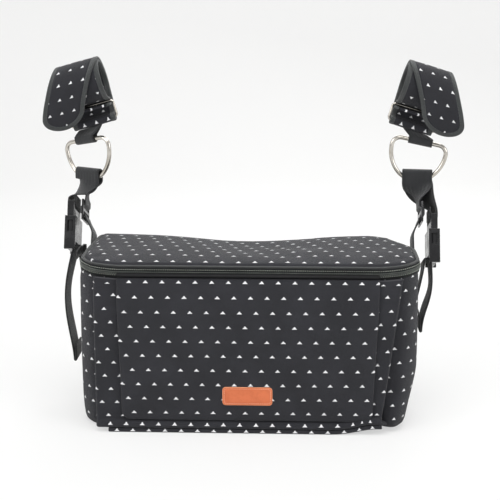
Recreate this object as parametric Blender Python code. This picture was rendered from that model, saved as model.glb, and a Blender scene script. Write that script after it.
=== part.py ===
"""Organiser bag that hangs on a bar by two cuffs.

Metres, +Z up.  The bag stands on its flat base with its front facing -Y and +X to the viewer's
right.  The origin is on the underside of the base.
"""

import math

import bmesh
import bpy
import numpy as np
from mathutils import Matrix, Vector

# gap kept between two pieces that touch
GAP = 0.0003

# bag body
BODY_HALF_WIDTH = 0.174
BODY_FRONT_Y = -0.055
BODY_REAR_Y = 0.068
FRONT_CORNER_R = 0.028
REAR_CORNER_R = 0.009
CORNER_STEPS = 7
WALL = 0.003
BASE_EDGE_R = 0.009
ZIP_Z = 0.168
ZIP_SPLIT = 0.0003

# zip
TAPE_HEIGHT = 0.0037
TAPE_THICKNESS = 0.0008
TEETH_HEIGHT = 0.0014
TEETH_THICKNESS = 0.002
ZIP_END_Y = 0.026
SLIDER_LENGTH = 0.012
SLIDER_HEIGHT = 0.009
SLIDER_PLATE = 0.0014
SLIDER_POST = 0.003
BRIDGE_WIRE = 0.0016
PULL_BAR = 0.0014
PULL_PLAY = 0.0005
PULL_EYE_WIDTH = 0.0085
PULL_EYE_LENGTH = 0.007
PULL_WIDTH = 0.0075
PULL_LENGTH = 0.022

# lid
LID_SKIRT = 0.0049
PIPING_R = 0.002
LID_CROWN = 0.0068
LID_DIP = 0.002
LID_STRIP_HEIGHT = 0.010
LID_STRIP_THICKNESS = 0.001
LID_STRIP_HALF_WIDTH = 0.14

# front pocket, flap and label
POCKET_HALF_WIDTH = 0.151
POCKET_DEPTH = 0.0112
POCKET_WALL = 0.0015
POCKET_BOTTOM_Z = 0.0075
POCKET_UNDER_ZIP = 0.010
POCKET_TOP_Z = ZIP_Z - POCKET_UNDER_ZIP
FLAP_HALF_WIDTH = 0.130
FLAP_THICKNESS = 0.004
FLAP_BOTTOM_Z = 0.0135
FLAP_UNDER_ZIP = 0.006
FLAP_TOP_Z = ZIP_Z - FLAP_UNDER_ZIP
FLAP_CORNER_R = 0.008
FLAP_STRIP_THICKNESS = 0.0016
LABEL_WIDTH = 0.050
LABEL_HEIGHT = 0.019
LABEL_THICKNESS = 0.0012
LABEL_Z = 0.040
LABEL_CORNER_R = 0.0035

# webbing
WEB_WIDTH = 0.032
WEB_THICKNESS = 0.0016
TAB_WIDTH = 0.026
STRAP_SLOPE = 0.40
PATCH_TOP_Z = 0.148
PATCH_TOP_Y = 0.043
PATCH_LENGTH = 0.030
SIDE_PATCH_TOP_Z = 0.094
SIDE_PATCH_LENGTH = 0.034
STRAP_STAND_OFF = 0.0036
SEWN_RETURN = 0.018
STRAP_UNDER_ZIP = 0.006
STRAP_TOP_STRAIGHT = 0.009
STRAP_SHIFT = 0.004
STRAP_SLACK = 0.0004
WEAVE_REACH = 0.011

# hanging height of the rings and cuffs
RING_STAND_OFF = 0.0055
HANG_X = BODY_HALF_WIDTH + RING_STAND_OFF
HANG_Y = 0.076
RING_BAR_Z = 0.277
RING_WIDTH = 0.063
RING_HEIGHT = 0.0475
RING_WIRE = 0.0047
RING_CORNER_R = 0.009
RING_TILT = math.radians(11)

# cuff: a strap wrapped twice round the bar and once through its wire loop
BAR_R = 0.019
CUFF_WIDTH = 0.047
PANEL_THICKNESS = 0.0024
BINDING_THICKNESS = 0.003
BINDING_WIDTH = 0.0055
CUFF_END_LENGTH = 0.018
CUFF_EYE = 0.010
LOOP_WIRE = 0.0025
LOOP_RISE = 0.0175
FLAP_DROP = 0.040
FLAP_LEAN = 0.0068
CUFF_OUT = 0.006

# side-release buckle
BUCKLE_STAND_OFF = 0.019
BUCKLE_X = BODY_HALF_WIDTH + BUCKLE_STAND_OFF
BUCKLE_WIDTH = 0.042
BUCKLE_THICKNESS = 0.0116
BUCKLE_WALL = 0.002
FEMALE_LENGTH = 0.036
MALE_BASE = 0.008
BUCKLE_BAR = 0.0036
BUCKLE_BAR_THICKNESS = 0.005
BUCKLE_SLOT = 0.0046
PRONG_LENGTH = 0.020
PRONG_WIDTH = 0.005
WINDOW_LENGTH = 0.012

# slide adjuster
ADJUSTER_WIDTH = 0.039
ADJUSTER_HEIGHT = 0.022
ADJUSTER_BAR = 0.0035
ADJUSTER_RAIL = 0.003
ADJUSTER_THICKNESS = 0.0022

# looks
FABRIC = (0.030, 0.030, 0.036)
WEBBING = (0.020, 0.021, 0.023)
PLASTIC = (0.015, 0.015, 0.016)
METAL = (0.75, 0.73, 0.68)
TEETH = (0.16, 0.17, 0.15)
LEATHERETTE = (0.70, 0.19, 0.07)
SHARP_ANGLE = math.radians(40)

# what differs from side to side: the left strap hangs more turned than the right one
SIDES = {
    "left": {
        "side": -1,
        "turn": math.radians(30),
        "cuff_tilt": math.radians(15.5),
        "cuff_z": 0.336,
        "skew": 0.029,
        "buckle_top_z": 0.2085,
        "bag_leg_is_front": False,
        "tail_end_z": 0.046,
        "adjuster_z": 0.200,
    },
    "right": {
        "side": 1,
        "turn": math.radians(8),
        "cuff_tilt": math.radians(17),
        "cuff_z": 0.333,
        "skew": 0.031,
        "buckle_top_z": 0.198,
        "bag_leg_is_front": True,
        "tail_end_z": 0.070,
        "adjuster_z": 0.200,
    },
}

# worked out from the sizes above
BODY_CENTRE_Y = (BODY_FRONT_Y + BODY_REAR_Y) / 2
BODY_HALF_DEPTH = (BODY_REAR_Y - BODY_FRONT_Y) / 2
LEDGE_Z = ZIP_Z + LID_SKIRT
POCKET_BACK_Y = BODY_FRONT_Y - GAP
POCKET_FRONT_Y = POCKET_BACK_Y - POCKET_DEPTH
FLAP_BACK_Y = POCKET_FRONT_Y - GAP
FLAP_AXIS = (0.0, FLAP_BACK_Y - FLAP_THICKNESS / 2, FLAP_TOP_Z)
LID_AXIS = (0.0, BODY_REAR_Y + GAP + LID_STRIP_THICKNESS, ZIP_Z)
LAYER_PITCH = BINDING_THICKNESS + GAP
TURN_R = LOOP_WIRE / 2 + GAP + BINDING_THICKNESS / 2
INNER_R = BAR_R + BINDING_THICKNESS / 2
OUTER_R = INNER_R + LAYER_PITCH
LOOP_P = -0.001
UPPER_WIRE_Q = -INNER_R - TURN_R
LOWER_WIRE_Q = UPPER_WIRE_Q - LOOP_RISE
CUFF_BOTTOM_Q = LOWER_WIRE_Q - TURN_R - BINDING_THICKNESS / 2
RING_FOLD_R = RING_WIRE / 2 + GAP + WEB_THICKNESS / 2
BUCKLE_FOLD_R = BUCKLE_BAR_THICKNESS / 2 + GAP + WEB_THICKNESS / 2


def clear_scene():
    for item in list(bpy.data.objects):
        bpy.data.objects.remove(item, do_unlink=True)


def material(name, colour, roughness, metallic=0.0):
    made = bpy.data.materials.new(name)
    made.use_nodes = True
    shader = made.node_tree.nodes["Principled BSDF"]
    shader.inputs["Base Color"].default_value = (*colour, 1.0)
    shader.inputs["Roughness"].default_value = roughness
    shader.inputs["Metallic"].default_value = metallic
    return made


def add_object(name, vertices, faces, colour, roughness=0.85, metallic=0.0, pivot=(0.0, 0.0, 0.0)):
    """One node: a mesh of these vertices and faces, its own material and its origin on the pivot."""
    mesh = bpy.data.meshes.new(name)
    spots = np.asarray([tuple(map(float, v)) for v in vertices]) - np.asarray(pivot)
    mesh.from_pydata(spots.tolist(), [], faces)
    mesh.update()
    work = bmesh.new()
    work.from_mesh(mesh)
    bmesh.ops.remove_doubles(work, verts=work.verts, dist=1e-7)
    bmesh.ops.recalc_face_normals(work, faces=work.faces)
    work.to_mesh(mesh)
    work.free()
    mesh.shade_smooth()
    mesh.set_sharp_from_angle(angle=SHARP_ANGLE)
    item = bpy.data.objects.new(name, mesh)
    item.location = tuple(map(float, pivot))
    bpy.context.collection.objects.link(item)
    mesh.materials.append(material(name, colour, roughness, metallic))
    return item


def loft(rings, closed=False):
    """Vertices and faces of a skin over rings of equal length, capped at both ends unless closed."""
    count = len(rings[0])
    vertices = [point for ring in rings for point in ring]
    faces = []
    steps = len(rings) if closed else len(rings) - 1
    for i in range(steps):
        a = i * count
        b = ((i + 1) % len(rings)) * count
        for j in range(count):
            k = (j + 1) % count
            faces.append((a + j, a + k, b + k, b + j))
    if not closed:
        faces.append(tuple(range(count)))
        faces.append(tuple(range((len(rings) - 1) * count, len(rings) * count)))
    return vertices, faces


def box_mesh(low, high):
    x0, y0, z0 = low
    x1, y1, z1 = high
    rings = [[(x0, y0, z), (x1, y0, z), (x1, y1, z), (x0, y1, z)] for z in (z0, z1)]
    return loft(rings)


def plan_outline(inset):
    """The bag's outline seen from above: a rectangle with round corners, as x, y pairs."""
    half_width = BODY_HALF_WIDTH - inset
    half_depth = BODY_HALF_DEPTH - inset
    points = []
    corners = (
        (1, 1, 0, REAR_CORNER_R),
        (-1, 1, 90, REAR_CORNER_R),
        (-1, -1, 180, FRONT_CORNER_R),
        (1, -1, 270, FRONT_CORNER_R),
    )
    for sx, sy, start, radius in corners:
        r = max(radius - inset, 0.0015)
        cx = sx * (half_width - r)
        cy = sy * (half_depth - r)
        for step in range(CORNER_STEPS + 1):
            angle = math.radians(start + 90 * step / CORNER_STEPS)
            points.append((cx + r * math.cos(angle), BODY_CENTRE_Y + cy + r * math.sin(angle)))
    return points


def outline_ring(inset, z):
    return [(x, y, z) for x, y in plan_outline(inset)]


def front_track(offset, z_low, z_high, thickness, rear_y):
    """A band round the front and both sides, from one side's rear_y to the other's."""
    outer = plan_outline(-offset - thickness)
    inner = plan_outline(-offset)
    first = CORNER_STEPS + 1
    chosen = list(range(2 * first, 4 * first))
    stations = []
    left_out, left_in = outer[chosen[0]], inner[chosen[0]]
    stations.append(((left_out[0], rear_y), (left_in[0], rear_y)))
    for index in chosen:
        stations.append((outer[index], inner[index]))
    right_out, right_in = outer[chosen[-1]], inner[chosen[-1]]
    stations.append(((right_out[0], rear_y), (right_in[0], rear_y)))
    rings = []
    for out, inn in stations:
        rings.append([(*out, z_low), (*out, z_high), (*inn, z_high), (*inn, z_low)])
    return loft(rings)


def smoothstep(value):
    value = min(max(value, 0.0), 1.0)
    return value * value * (3 - 2 * value)


def unit(vector):
    vector = np.asarray(vector, dtype=float)
    return vector / np.linalg.norm(vector)


def tangents(points):
    points = np.asarray(points)
    steps = np.gradient(points, axis=0)
    return steps / np.linalg.norm(steps, axis=1)[:, None]


def ribbon(points, across, width, thickness, square=True):
    """A flat strap along points, its width turned to the across vectors, square to its run or slanted."""
    points = np.asarray(points, dtype=float)
    rings = []
    for point, along, side in zip(points, tangents(points), across):
        if square:
            side = np.asarray(side) - np.dot(side, along) * along
        side = unit(side)
        normal = unit(np.cross(along, side))
        w = side * width / 2
        n = normal * thickness / 2
        rings.append([point - w - n, point + w - n, point + w + n, point - w + n])
    return loft(rings)


def tube(points, radius, sides, plane_normal):
    """A round wire bent along a closed loop that lies in one plane."""
    points = np.asarray(points, dtype=float)
    ahead = np.roll(points, -1, axis=0) - np.roll(points, 1, axis=0)
    rings = []
    for point, along in zip(points, ahead):
        along = unit(along)
        side = np.cross(plane_normal, along)
        ring = []
        for k in range(sides):
            angle = 2 * math.pi * (k + 0.5) / sides
            ring.append(point + radius * (math.cos(angle) * side + math.sin(angle) * plane_normal))
        rings.append(ring)
    return loft(rings, closed=True)


def arc(centre, radius, start, stop, steps):
    """Points of an arc in a plane, angles in degrees."""
    angles = np.radians(np.linspace(start, stop, steps))
    return [(centre[0] + radius * math.cos(a), centre[1] + radius * math.sin(a)) for a in angles]


def bezier(start, start_way, stop, stop_way, reach, steps):
    """A curve between two points that leaves and arrives along the given ways."""
    p0 = np.asarray(start, dtype=float)
    p3 = np.asarray(stop, dtype=float)
    p1 = p0 + unit(start_way) * reach
    p2 = p3 - unit(stop_way) * reach
    t = np.linspace(0, 1, steps)[:, None]
    return list((1 - t) ** 3 * p0 + 3 * (1 - t) ** 2 * t * p1 + 3 * (1 - t) * t**2 * p2 + t**3 * p3)


def join_paths(*pieces):
    """One list of points from several, without the doubled ends."""
    joined = []
    for piece in pieces:
        for point in piece:
            point = np.asarray(point, dtype=float)
            if joined and np.linalg.norm(joined[-1] - point) < 1e-6:
                continue
            joined.append(point)
    return np.array(joined)


def cut(item, low, high, name, matrix=None):
    """Cuts a box out of an object."""
    vertices, faces = box_mesh(low, high)
    mesh = bpy.data.meshes.new(name)
    mesh.from_pydata(vertices, [], faces)
    work = bmesh.new()
    work.from_mesh(mesh)
    bmesh.ops.recalc_face_normals(work, faces=work.faces)
    work.to_mesh(mesh)
    work.free()
    cutter = bpy.data.objects.new(name, mesh)
    bpy.context.collection.objects.link(cutter)
    if matrix is not None:
        cutter.matrix_world = matrix
    cutter.hide_render = True
    cutter.display_type = "WIRE"
    modifier = item.modifiers.new(name, "BOOLEAN")
    modifier.operation = "DIFFERENCE"
    modifier.object = cutter


def make_body():
    rim = ZIP_Z - ZIP_SPLIT
    rings = [
        outline_ring(WALL + 0.012, WALL),
        outline_ring(WALL + 0.002, WALL + 0.001),
        outline_ring(WALL, WALL + 0.006),
        outline_ring(WALL, rim),
        outline_ring(0, rim),
        outline_ring(0, BASE_EDGE_R),
        outline_ring(BASE_EDGE_R * 0.3, BASE_EDGE_R * 0.3),
        outline_ring(BASE_EDGE_R, 0),
    ]
    add_object("body_shell", *loft(rings), FABRIC)


def make_zip():
    low = ZIP_Z - ZIP_SPLIT / 2
    high = ZIP_Z + ZIP_SPLIT / 2
    tape_gap = TEETH_HEIGHT + GAP
    rows = (
        ("zip_tape_lower", low - tape_gap - TAPE_HEIGHT, low - tape_gap, TAPE_THICKNESS, WEBBING, (0, 0, 0)),
        ("zip_teeth_lower", low - TEETH_HEIGHT, low, TEETH_THICKNESS, TEETH, (0, 0, 0)),
        ("zip_teeth_upper", high, high + TEETH_HEIGHT, TEETH_THICKNESS, TEETH, LID_AXIS),
        ("zip_tape_upper", high + tape_gap, LEDGE_Z - GAP, TAPE_THICKNESS, WEBBING, LID_AXIS),
    )
    for name, z_low, z_high, thickness, colour, pivot in rows:
        add_object(name, *front_track(GAP, z_low, z_high, thickness, ZIP_END_Y), colour, pivot=pivot)


def make_slider():
    """Slider parked at the closed end of the zip on the left side, with a pull that lies forward."""
    face = BODY_HALF_WIDTH + GAP + TEETH_THICKNESS + GAP
    back = ZIP_END_Y + GAP + SLIDER_POST
    front = back - SLIDER_LENGTH
    axis_x = face + SLIDER_PLATE + PULL_PLAY + PULL_BAR / 2
    bridge_in = axis_x + PULL_BAR / 2 + PULL_PLAY
    bridge_out = bridge_in + BRIDGE_WIRE
    middle = (front + back) / 2
    half_bridge = PULL_EYE_LENGTH / 2 - PULL_BAR / 2
    leg = BRIDGE_WIRE
    plan = [
        (-face, front), (-face, back - SLIDER_POST), (-BODY_HALF_WIDTH - GAP, back - SLIDER_POST),
        (-BODY_HALF_WIDTH - GAP, back), (-face - SLIDER_PLATE, back), (-face - SLIDER_PLATE, front),
    ]
    rings = [[(x, y, z) for x, y in plan] for z in (ZIP_Z - SLIDER_HEIGHT / 2, ZIP_Z + SLIDER_HEIGHT / 2)]
    slider = add_object("zip_slider", *loft(rings), PLASTIC, 0.4)
    outline = [
        (-face - SLIDER_PLATE + 0.0004, middle - half_bridge), (-bridge_out, middle - half_bridge),
        (-bridge_out, middle + half_bridge), (-face - SLIDER_PLATE + 0.0004, middle + half_bridge),
        (-face - SLIDER_PLATE + 0.0004, middle + half_bridge - leg), (-bridge_in, middle + half_bridge - leg),
        (-bridge_in, middle - half_bridge + leg), (-face - SLIDER_PLATE + 0.0004, middle - half_bridge + leg),
    ]
    rings = [[(x, y, z) for x, y in outline] for z in (ZIP_Z - leg / 2, ZIP_Z + leg / 2)]
    vertices, faces = loft(rings)
    bridge = add_object("slider_bridge", vertices, faces, PLASTIC)
    bridge.hide_render = True
    bridge.display_type = "WIRE"
    union = slider.modifiers.new("bridge", "BOOLEAN")
    union.operation = "UNION"
    union.object = bridge
    # the pull: a bar under the bridge, an eye round the bridge's front leg and a flat tab
    half = PULL_EYE_WIDTH / 2
    thick = PULL_BAR / 2
    eye_end = middle - PULL_EYE_LENGTH
    tab_end = eye_end - PULL_LENGTH
    low = (-axis_x - thick, tab_end, ZIP_Z - PULL_WIDTH / 2)
    high = (-axis_x + thick, middle + thick, ZIP_Z + PULL_WIDTH / 2)
    pull = add_object("zip_pull", *box_mesh((low[0], low[1], ZIP_Z - half), (high[0], high[1], ZIP_Z + half)),
                      PLASTIC, 0.4, pivot=(-axis_x, middle, ZIP_Z))
    cut(pull, (low[0] - 0.01, eye_end + PULL_BAR, ZIP_Z - half + PULL_BAR),
        (high[0] + 0.01, middle - thick, ZIP_Z + half - PULL_BAR), "pull_eye_cutter")


def make_lid():
    """Shallow padded lid: skirt, ledge for the piping and a crowned top with a slight dip."""
    bottom = ZIP_Z + ZIP_SPLIT
    seat = 2 * PIPING_R - 0.001 + GAP
    crown_z = LEDGE_Z + LID_CROWN
    under = LEDGE_Z + 0.001
    rings = [
        outline_ring(BODY_HALF_DEPTH * 0.86, under),
        outline_ring(WALL + 0.006, under),
        outline_ring(WALL, LEDGE_Z - 0.001),
        outline_ring(WALL, bottom),
        outline_ring(0, bottom),
        outline_ring(0, LEDGE_Z - 0.0002),
        outline_ring(seat, LEDGE_Z - 0.0002),
        outline_ring(seat, LEDGE_Z + PIPING_R),
        outline_ring(seat + 0.005, LEDGE_Z + LID_CROWN * 0.75),
        outline_ring(seat + 0.016, crown_z),
        outline_ring(seat + 0.030, crown_z - LID_DIP * 0.3),
        outline_ring(BODY_HALF_DEPTH * 0.86, crown_z - LID_DIP),
    ]
    add_object("lid", *loft(rings), FABRIC, pivot=LID_AXIS)
    section = []
    for k in range(8):
        angle = 2 * math.pi * (k + 0.5) / 8
        inset = PIPING_R - 0.001 - PIPING_R * math.cos(angle)
        section.append(outline_ring(inset, LEDGE_Z + PIPING_R + PIPING_R * math.sin(angle)))
    add_object("lid_piping", *loft(section, closed=True), WEBBING, pivot=LID_AXIS)
    add_object("lid_hinge_strip", *box_mesh(
        (-LID_STRIP_HALF_WIDTH, BODY_REAR_Y + GAP, ZIP_Z - LID_STRIP_HEIGHT),
        (LID_STRIP_HALF_WIDTH, BODY_REAR_Y + GAP + LID_STRIP_THICKNESS, ZIP_Z - ZIP_SPLIT)), WEBBING)


def make_pocket():
    pocket = add_object("front_pocket", *box_mesh(
        (-POCKET_HALF_WIDTH, POCKET_FRONT_Y, POCKET_BOTTOM_Z),
        (POCKET_HALF_WIDTH, POCKET_BACK_Y, POCKET_TOP_Z)), FABRIC)
    cut(pocket,
        (-POCKET_HALF_WIDTH + POCKET_WALL, POCKET_FRONT_Y + POCKET_WALL, POCKET_BOTTOM_Z + POCKET_WALL),
        (POCKET_HALF_WIDTH - POCKET_WALL, POCKET_BACK_Y - POCKET_WALL, POCKET_TOP_Z + 0.01), "pocket_cutter")


def rounded_panel(half_width, z_low, z_high, low_r, high_r, y_front, y_back):
    """A flat panel that faces -Y, with rounded corners at its lower and upper ends."""
    outline = []
    corners = ((1, z_low, low_r, 270), (1, z_high, high_r, 0), (-1, z_high, high_r, 90), (-1, z_low, low_r, 180))
    for sx, z, r, start in corners:
        cz = z + r if z == z_low else z - r
        outline.extend(arc((sx * (half_width - r), cz), r, start, start + 90, 7))
    return loft([[(x, y, z) for x, z in outline] for y in (y_front, y_back)])


def make_flap():
    front = FLAP_BACK_Y - FLAP_THICKNESS
    add_object("front_flap", *rounded_panel(
        FLAP_HALF_WIDTH, FLAP_BOTTOM_Z, FLAP_TOP_Z, FLAP_CORNER_R, 0.0005, front, FLAP_BACK_Y), FABRIC,
        pivot=FLAP_AXIS)
    top = FLAP_TOP_Z + FLAP_STRIP_THICKNESS / 8
    add_object("flap_seam_strip", *box_mesh(
        (-FLAP_HALF_WIDTH, FLAP_BACK_Y + GAP, top - FLAP_STRIP_THICKNESS),
        (FLAP_HALF_WIDTH, BODY_FRONT_Y - GAP, top)), FABRIC)
    add_object("label", *rounded_panel(
        LABEL_WIDTH / 2, LABEL_Z - LABEL_HEIGHT / 2, LABEL_Z + LABEL_HEIGHT / 2, LABEL_CORNER_R,
        LABEL_CORNER_R, front - GAP - LABEL_THICKNESS, front - GAP), LEATHERETTE, 0.6, pivot=FLAP_AXIS)


def cuff_path():
    """The cuff strap's middle line in its section: p points to the front and q up from the bar."""
    upper = (LOOP_P, UPPER_WIRE_Q)
    lower = (LOOP_P, LOWER_WIRE_Q)
    leave = math.radians(212)
    arrive = math.radians(200)
    eye = [(CUFF_EYE, UPPER_WIRE_Q - TURN_R), (LOOP_P, UPPER_WIRE_Q - TURN_R)]
    inner_leave = (INNER_R * math.cos(leave), INNER_R * math.sin(leave))
    outer_arrive = (OUTER_R * math.cos(arrive), OUTER_R * math.sin(arrive))
    pieces = (
        eye,
        arc(upper, TURN_R, 270, 90, 9),
        arc((0, 0), INNER_R, -90, 212, 40),
        bezier(inner_leave, (-math.sin(leave), math.cos(leave)), (LOOP_P, LOWER_WIRE_Q + TURN_R), (1, 0),
               0.010, 10),
        arc(lower, TURN_R, 90, -90, 9),
        bezier((LOOP_P, LOWER_WIRE_Q - TURN_R), (-1, 0), outer_arrive,
               (math.sin(arrive), -math.cos(arrive)), 0.016, 12),
        arc((0, 0), OUTER_R, 200, 0, 30),
        bezier((OUTER_R, 0), (0, -1), (OUTER_R - FLAP_LEAN, -FLAP_DROP), (-0.25, -0.97), 0.014, 12),
    )
    return join_paths(*pieces)


def sample(lengths, values, at):
    return np.array([np.interp(at, lengths, values[:, k]) for k in range(values.shape[1])])


def cuff_frame(spec):
    """The cuff's own directions in the world: along the bar, forward and up, and its centre."""
    tilt = -spec["side"] * spec["cuff_tilt"]
    along = np.array([math.cos(tilt), 0, math.sin(tilt)])
    up = np.array([-math.sin(tilt), 0, math.cos(tilt)])
    forward = np.array([0, -1, 0])
    centre = np.array([spec["side"] * (HANG_X + 0.0015), HANG_Y, spec["cuff_z"]])
    return along, forward, up, centre


def make_cuff(label, spec):
    along, forward, up, centre = cuff_frame(spec)
    path = cuff_path()
    steps = np.linalg.norm(np.diff(path, axis=0), axis=1)
    lengths = np.concatenate([[0], np.cumsum(steps)])
    total = lengths[-1]
    way = tangents(path)
    normals = np.stack([-way[:, 1], way[:, 0]], axis=1)
    top_at = lengths[np.argmax(path[:, 1])]

    def place(s, w, n):
        p, q = sample(lengths, path, s) + n * unit(sample(lengths, normals, s))
        slip = spec["side"] * spec["skew"] * smoothstep((s - top_at) / (total - top_at))
        return centre + along * (w + slip) + forward * p + up * q

    half = CUFF_WIDTH / 2
    seam = half - BINDING_WIDTH
    panel_half = seam - GAP
    round_start = total - CUFF_END_LENGTH
    straight = [s for s in lengths if s < round_start - 0.001] + [round_start]
    end_inner = CUFF_END_LENGTH - BINDING_WIDTH
    panel_end = end_inner - GAP
    rings = []
    for s in straight:
        rings.append([place(s, w, n) for w, n in (
            (-panel_half, -PANEL_THICKNESS / 2), (panel_half, -PANEL_THICKNESS / 2),
            (panel_half, PANEL_THICKNESS / 2), (-panel_half, PANEL_THICKNESS / 2))])
    for angle in np.radians(np.linspace(12, 82, 8)):
        s = round_start + panel_end * math.sin(angle)
        w = panel_half * math.cos(angle)
        rings.append([place(s, a, n) for a, n in (
            (-w, -PANEL_THICKNESS / 2), (w, -PANEL_THICKNESS / 2),
            (w, PANEL_THICKNESS / 2), (-w, PANEL_THICKNESS / 2))])
    pivot = (spec["side"] * HANG_X, HANG_Y, RING_BAR_Z)
    add_object(f"cuff_{label}", *loft(rings), FABRIC, pivot=pivot)
    edge = [((s, -half), (s, -seam)) for s in straight]
    for angle in np.radians(np.linspace(-90, 90, 17)[1:-1]):
        outer = (round_start + CUFF_END_LENGTH * math.cos(angle), half * math.sin(angle))
        inner = (round_start + end_inner * math.cos(angle), seam * math.sin(angle))
        edge.append((outer, inner))
    edge += [((s, half), (s, seam)) for s in reversed(straight)]
    rings = []
    for outer, inner in edge:
        rings.append([place(*outer, -BINDING_THICKNESS / 2), place(*inner, -BINDING_THICKNESS / 2),
                      place(*inner, BINDING_THICKNESS / 2), place(*outer, BINDING_THICKNESS / 2)])
    add_object(f"cuff_binding_{label}", *loft(rings), WEBBING, pivot=pivot)
    # the wire loop stands upright under the bar
    half_long = half + GAP * 3 + LOOP_WIRE / 2
    half_rise = LOOP_RISE / 2
    corner = 0.003
    middle = centre + forward * LOOP_P + up * (UPPER_WIRE_Q - half_rise)
    points = []
    for sx, sz, start in ((1, 1, 0), (-1, 1, 90), (-1, -1, 180), (1, -1, 270)):
        spot = (sx * (half_long - corner), sz * (half_rise - corner))
        for x, z in arc(spot, corner, start, start + 90, 5):
            points.append(middle + along * x + up * z)
    add_object(f"wire_loop_{label}", *tube(points, LOOP_WIRE / 2, 8, forward), METAL, 0.25, 1.0, pivot)


def ring_frame(spec):
    """The D-ring's directions: along its top bar, down in its plane and its facing normal."""
    side = spec["side"]
    turn = spec["turn"]
    tilt = -side * RING_TILT
    level = np.array([math.cos(turn), -math.sin(turn), 0])
    along = level * math.cos(tilt) + np.array([0, 0, math.sin(tilt)])
    facing = np.array([-math.sin(turn), -math.cos(turn), 0])
    down = np.cross(along, facing)
    if down[2] > 0:
        down = -down
    centre = np.array([side * HANG_X, HANG_Y, RING_BAR_Z])
    return along, down, facing, centre


def ring_outline():
    """D shape from above: straight bar, small corners and one half ellipse below; x across, y down."""
    half = (RING_WIDTH - RING_WIRE) / 2
    drop = RING_HEIGHT - RING_WIRE - RING_CORNER_R
    points = []
    points += [(half - RING_CORNER_R + RING_CORNER_R * math.cos(a), RING_CORNER_R - RING_CORNER_R * math.sin(a))
               for a in np.radians(np.linspace(90, 0, 6))]
    points += [(half * math.cos(a), RING_CORNER_R + drop * math.sin(a))
               for a in np.radians(np.linspace(0, 180, 25))[1:-1]]
    points += [(-half + RING_CORNER_R - RING_CORNER_R * math.cos(a), RING_CORNER_R - RING_CORNER_R * math.sin(a))
               for a in np.radians(np.linspace(0, 90, 6))]
    return points


def make_ring(label, spec):
    along, down, facing, centre = ring_frame(spec)
    points = [centre + along * x + down * y for x, y in ring_outline()]
    add_object(f"d_ring_{label}", *tube(points, RING_WIRE / 2, 10, facing), METAL, 0.2, 1.0)


def make_tab(label, spec):
    """Webbing tab sewn under the cuff, folded round the ring's top bar."""
    along, forward, up, centre = cuff_frame(spec)
    bar_way, down, facing, bar = ring_frame(spec)
    top = centre + along * spec["side"] * CUFF_OUT + forward * LOOP_P + up * (CUFF_BOTTOM_Q - GAP)
    spread = WEB_THICKNESS / 2 + GAP
    rise = -down * (RING_WIRE / 2 + WEB_THICKNESS)
    points = []
    across = []
    for step in np.linspace(0, 1, 8):
        points.append((top + forward * spread) * (1 - step) + (bar + facing * RING_FOLD_R + rise) * step)
        across.append(along * (1 - step) + bar_way * step)
    for angle in np.radians(np.linspace(0, 180, 11)):
        points.append(bar + RING_FOLD_R * (math.cos(angle) * facing + math.sin(angle) * down))
        across.append(bar_way)
    for step in np.linspace(0, 1, 8):
        points.append((top - forward * spread) * step + (bar - facing * RING_FOLD_R + rise) * (1 - step))
        across.append(along * step + bar_way * (1 - step))
    add_object(f"ring_tab_{label}", *ribbon(points, across, TAB_WIDTH, WEB_THICKNESS, square=False),
               WEBBING, pivot=bar)


def strap_line(z):
    """Where the leaning strap is at height z, seen from the side."""
    return PATCH_TOP_Y + (z - PATCH_TOP_Z) * STRAP_SLOPE


def buckle_frame(spec):
    """The buckle's directions: out from the bag, across and up along the leaning strap."""
    up = unit((0, STRAP_SLOPE, 1))
    across = np.array([0, -up[2], up[1]])
    out = np.array([float(spec["side"]), 0, 0])
    top = np.array([spec["side"] * BUCKLE_X, strap_line(spec["buckle_top_z"]), spec["buckle_top_z"]])
    return out, across, up, top


def wrap_bar(centre, out, far):
    """Webbing's way round a flat bar: from its out side over its far edge to the other side."""
    bend = GAP + WEB_THICKNESS / 2
    half_thick = BUCKLE_BAR_THICKNESS / 2
    half_high = BUCKLE_BAR / 2
    section = arc((half_thick, half_high), bend, 0, 90, 5) + arc((-half_thick, half_high), bend, 90, 180, 5)
    return [centre + out * x + far * z for x, z in section]


def turned(turns, leans):
    """Across vectors of a strap from its turn about the upright and its lean."""
    return [np.array([math.cos(t), -math.sin(t) * math.cos(b), math.sin(t) * math.sin(b)])
            for t, b in zip(turns, leans)]


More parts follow.
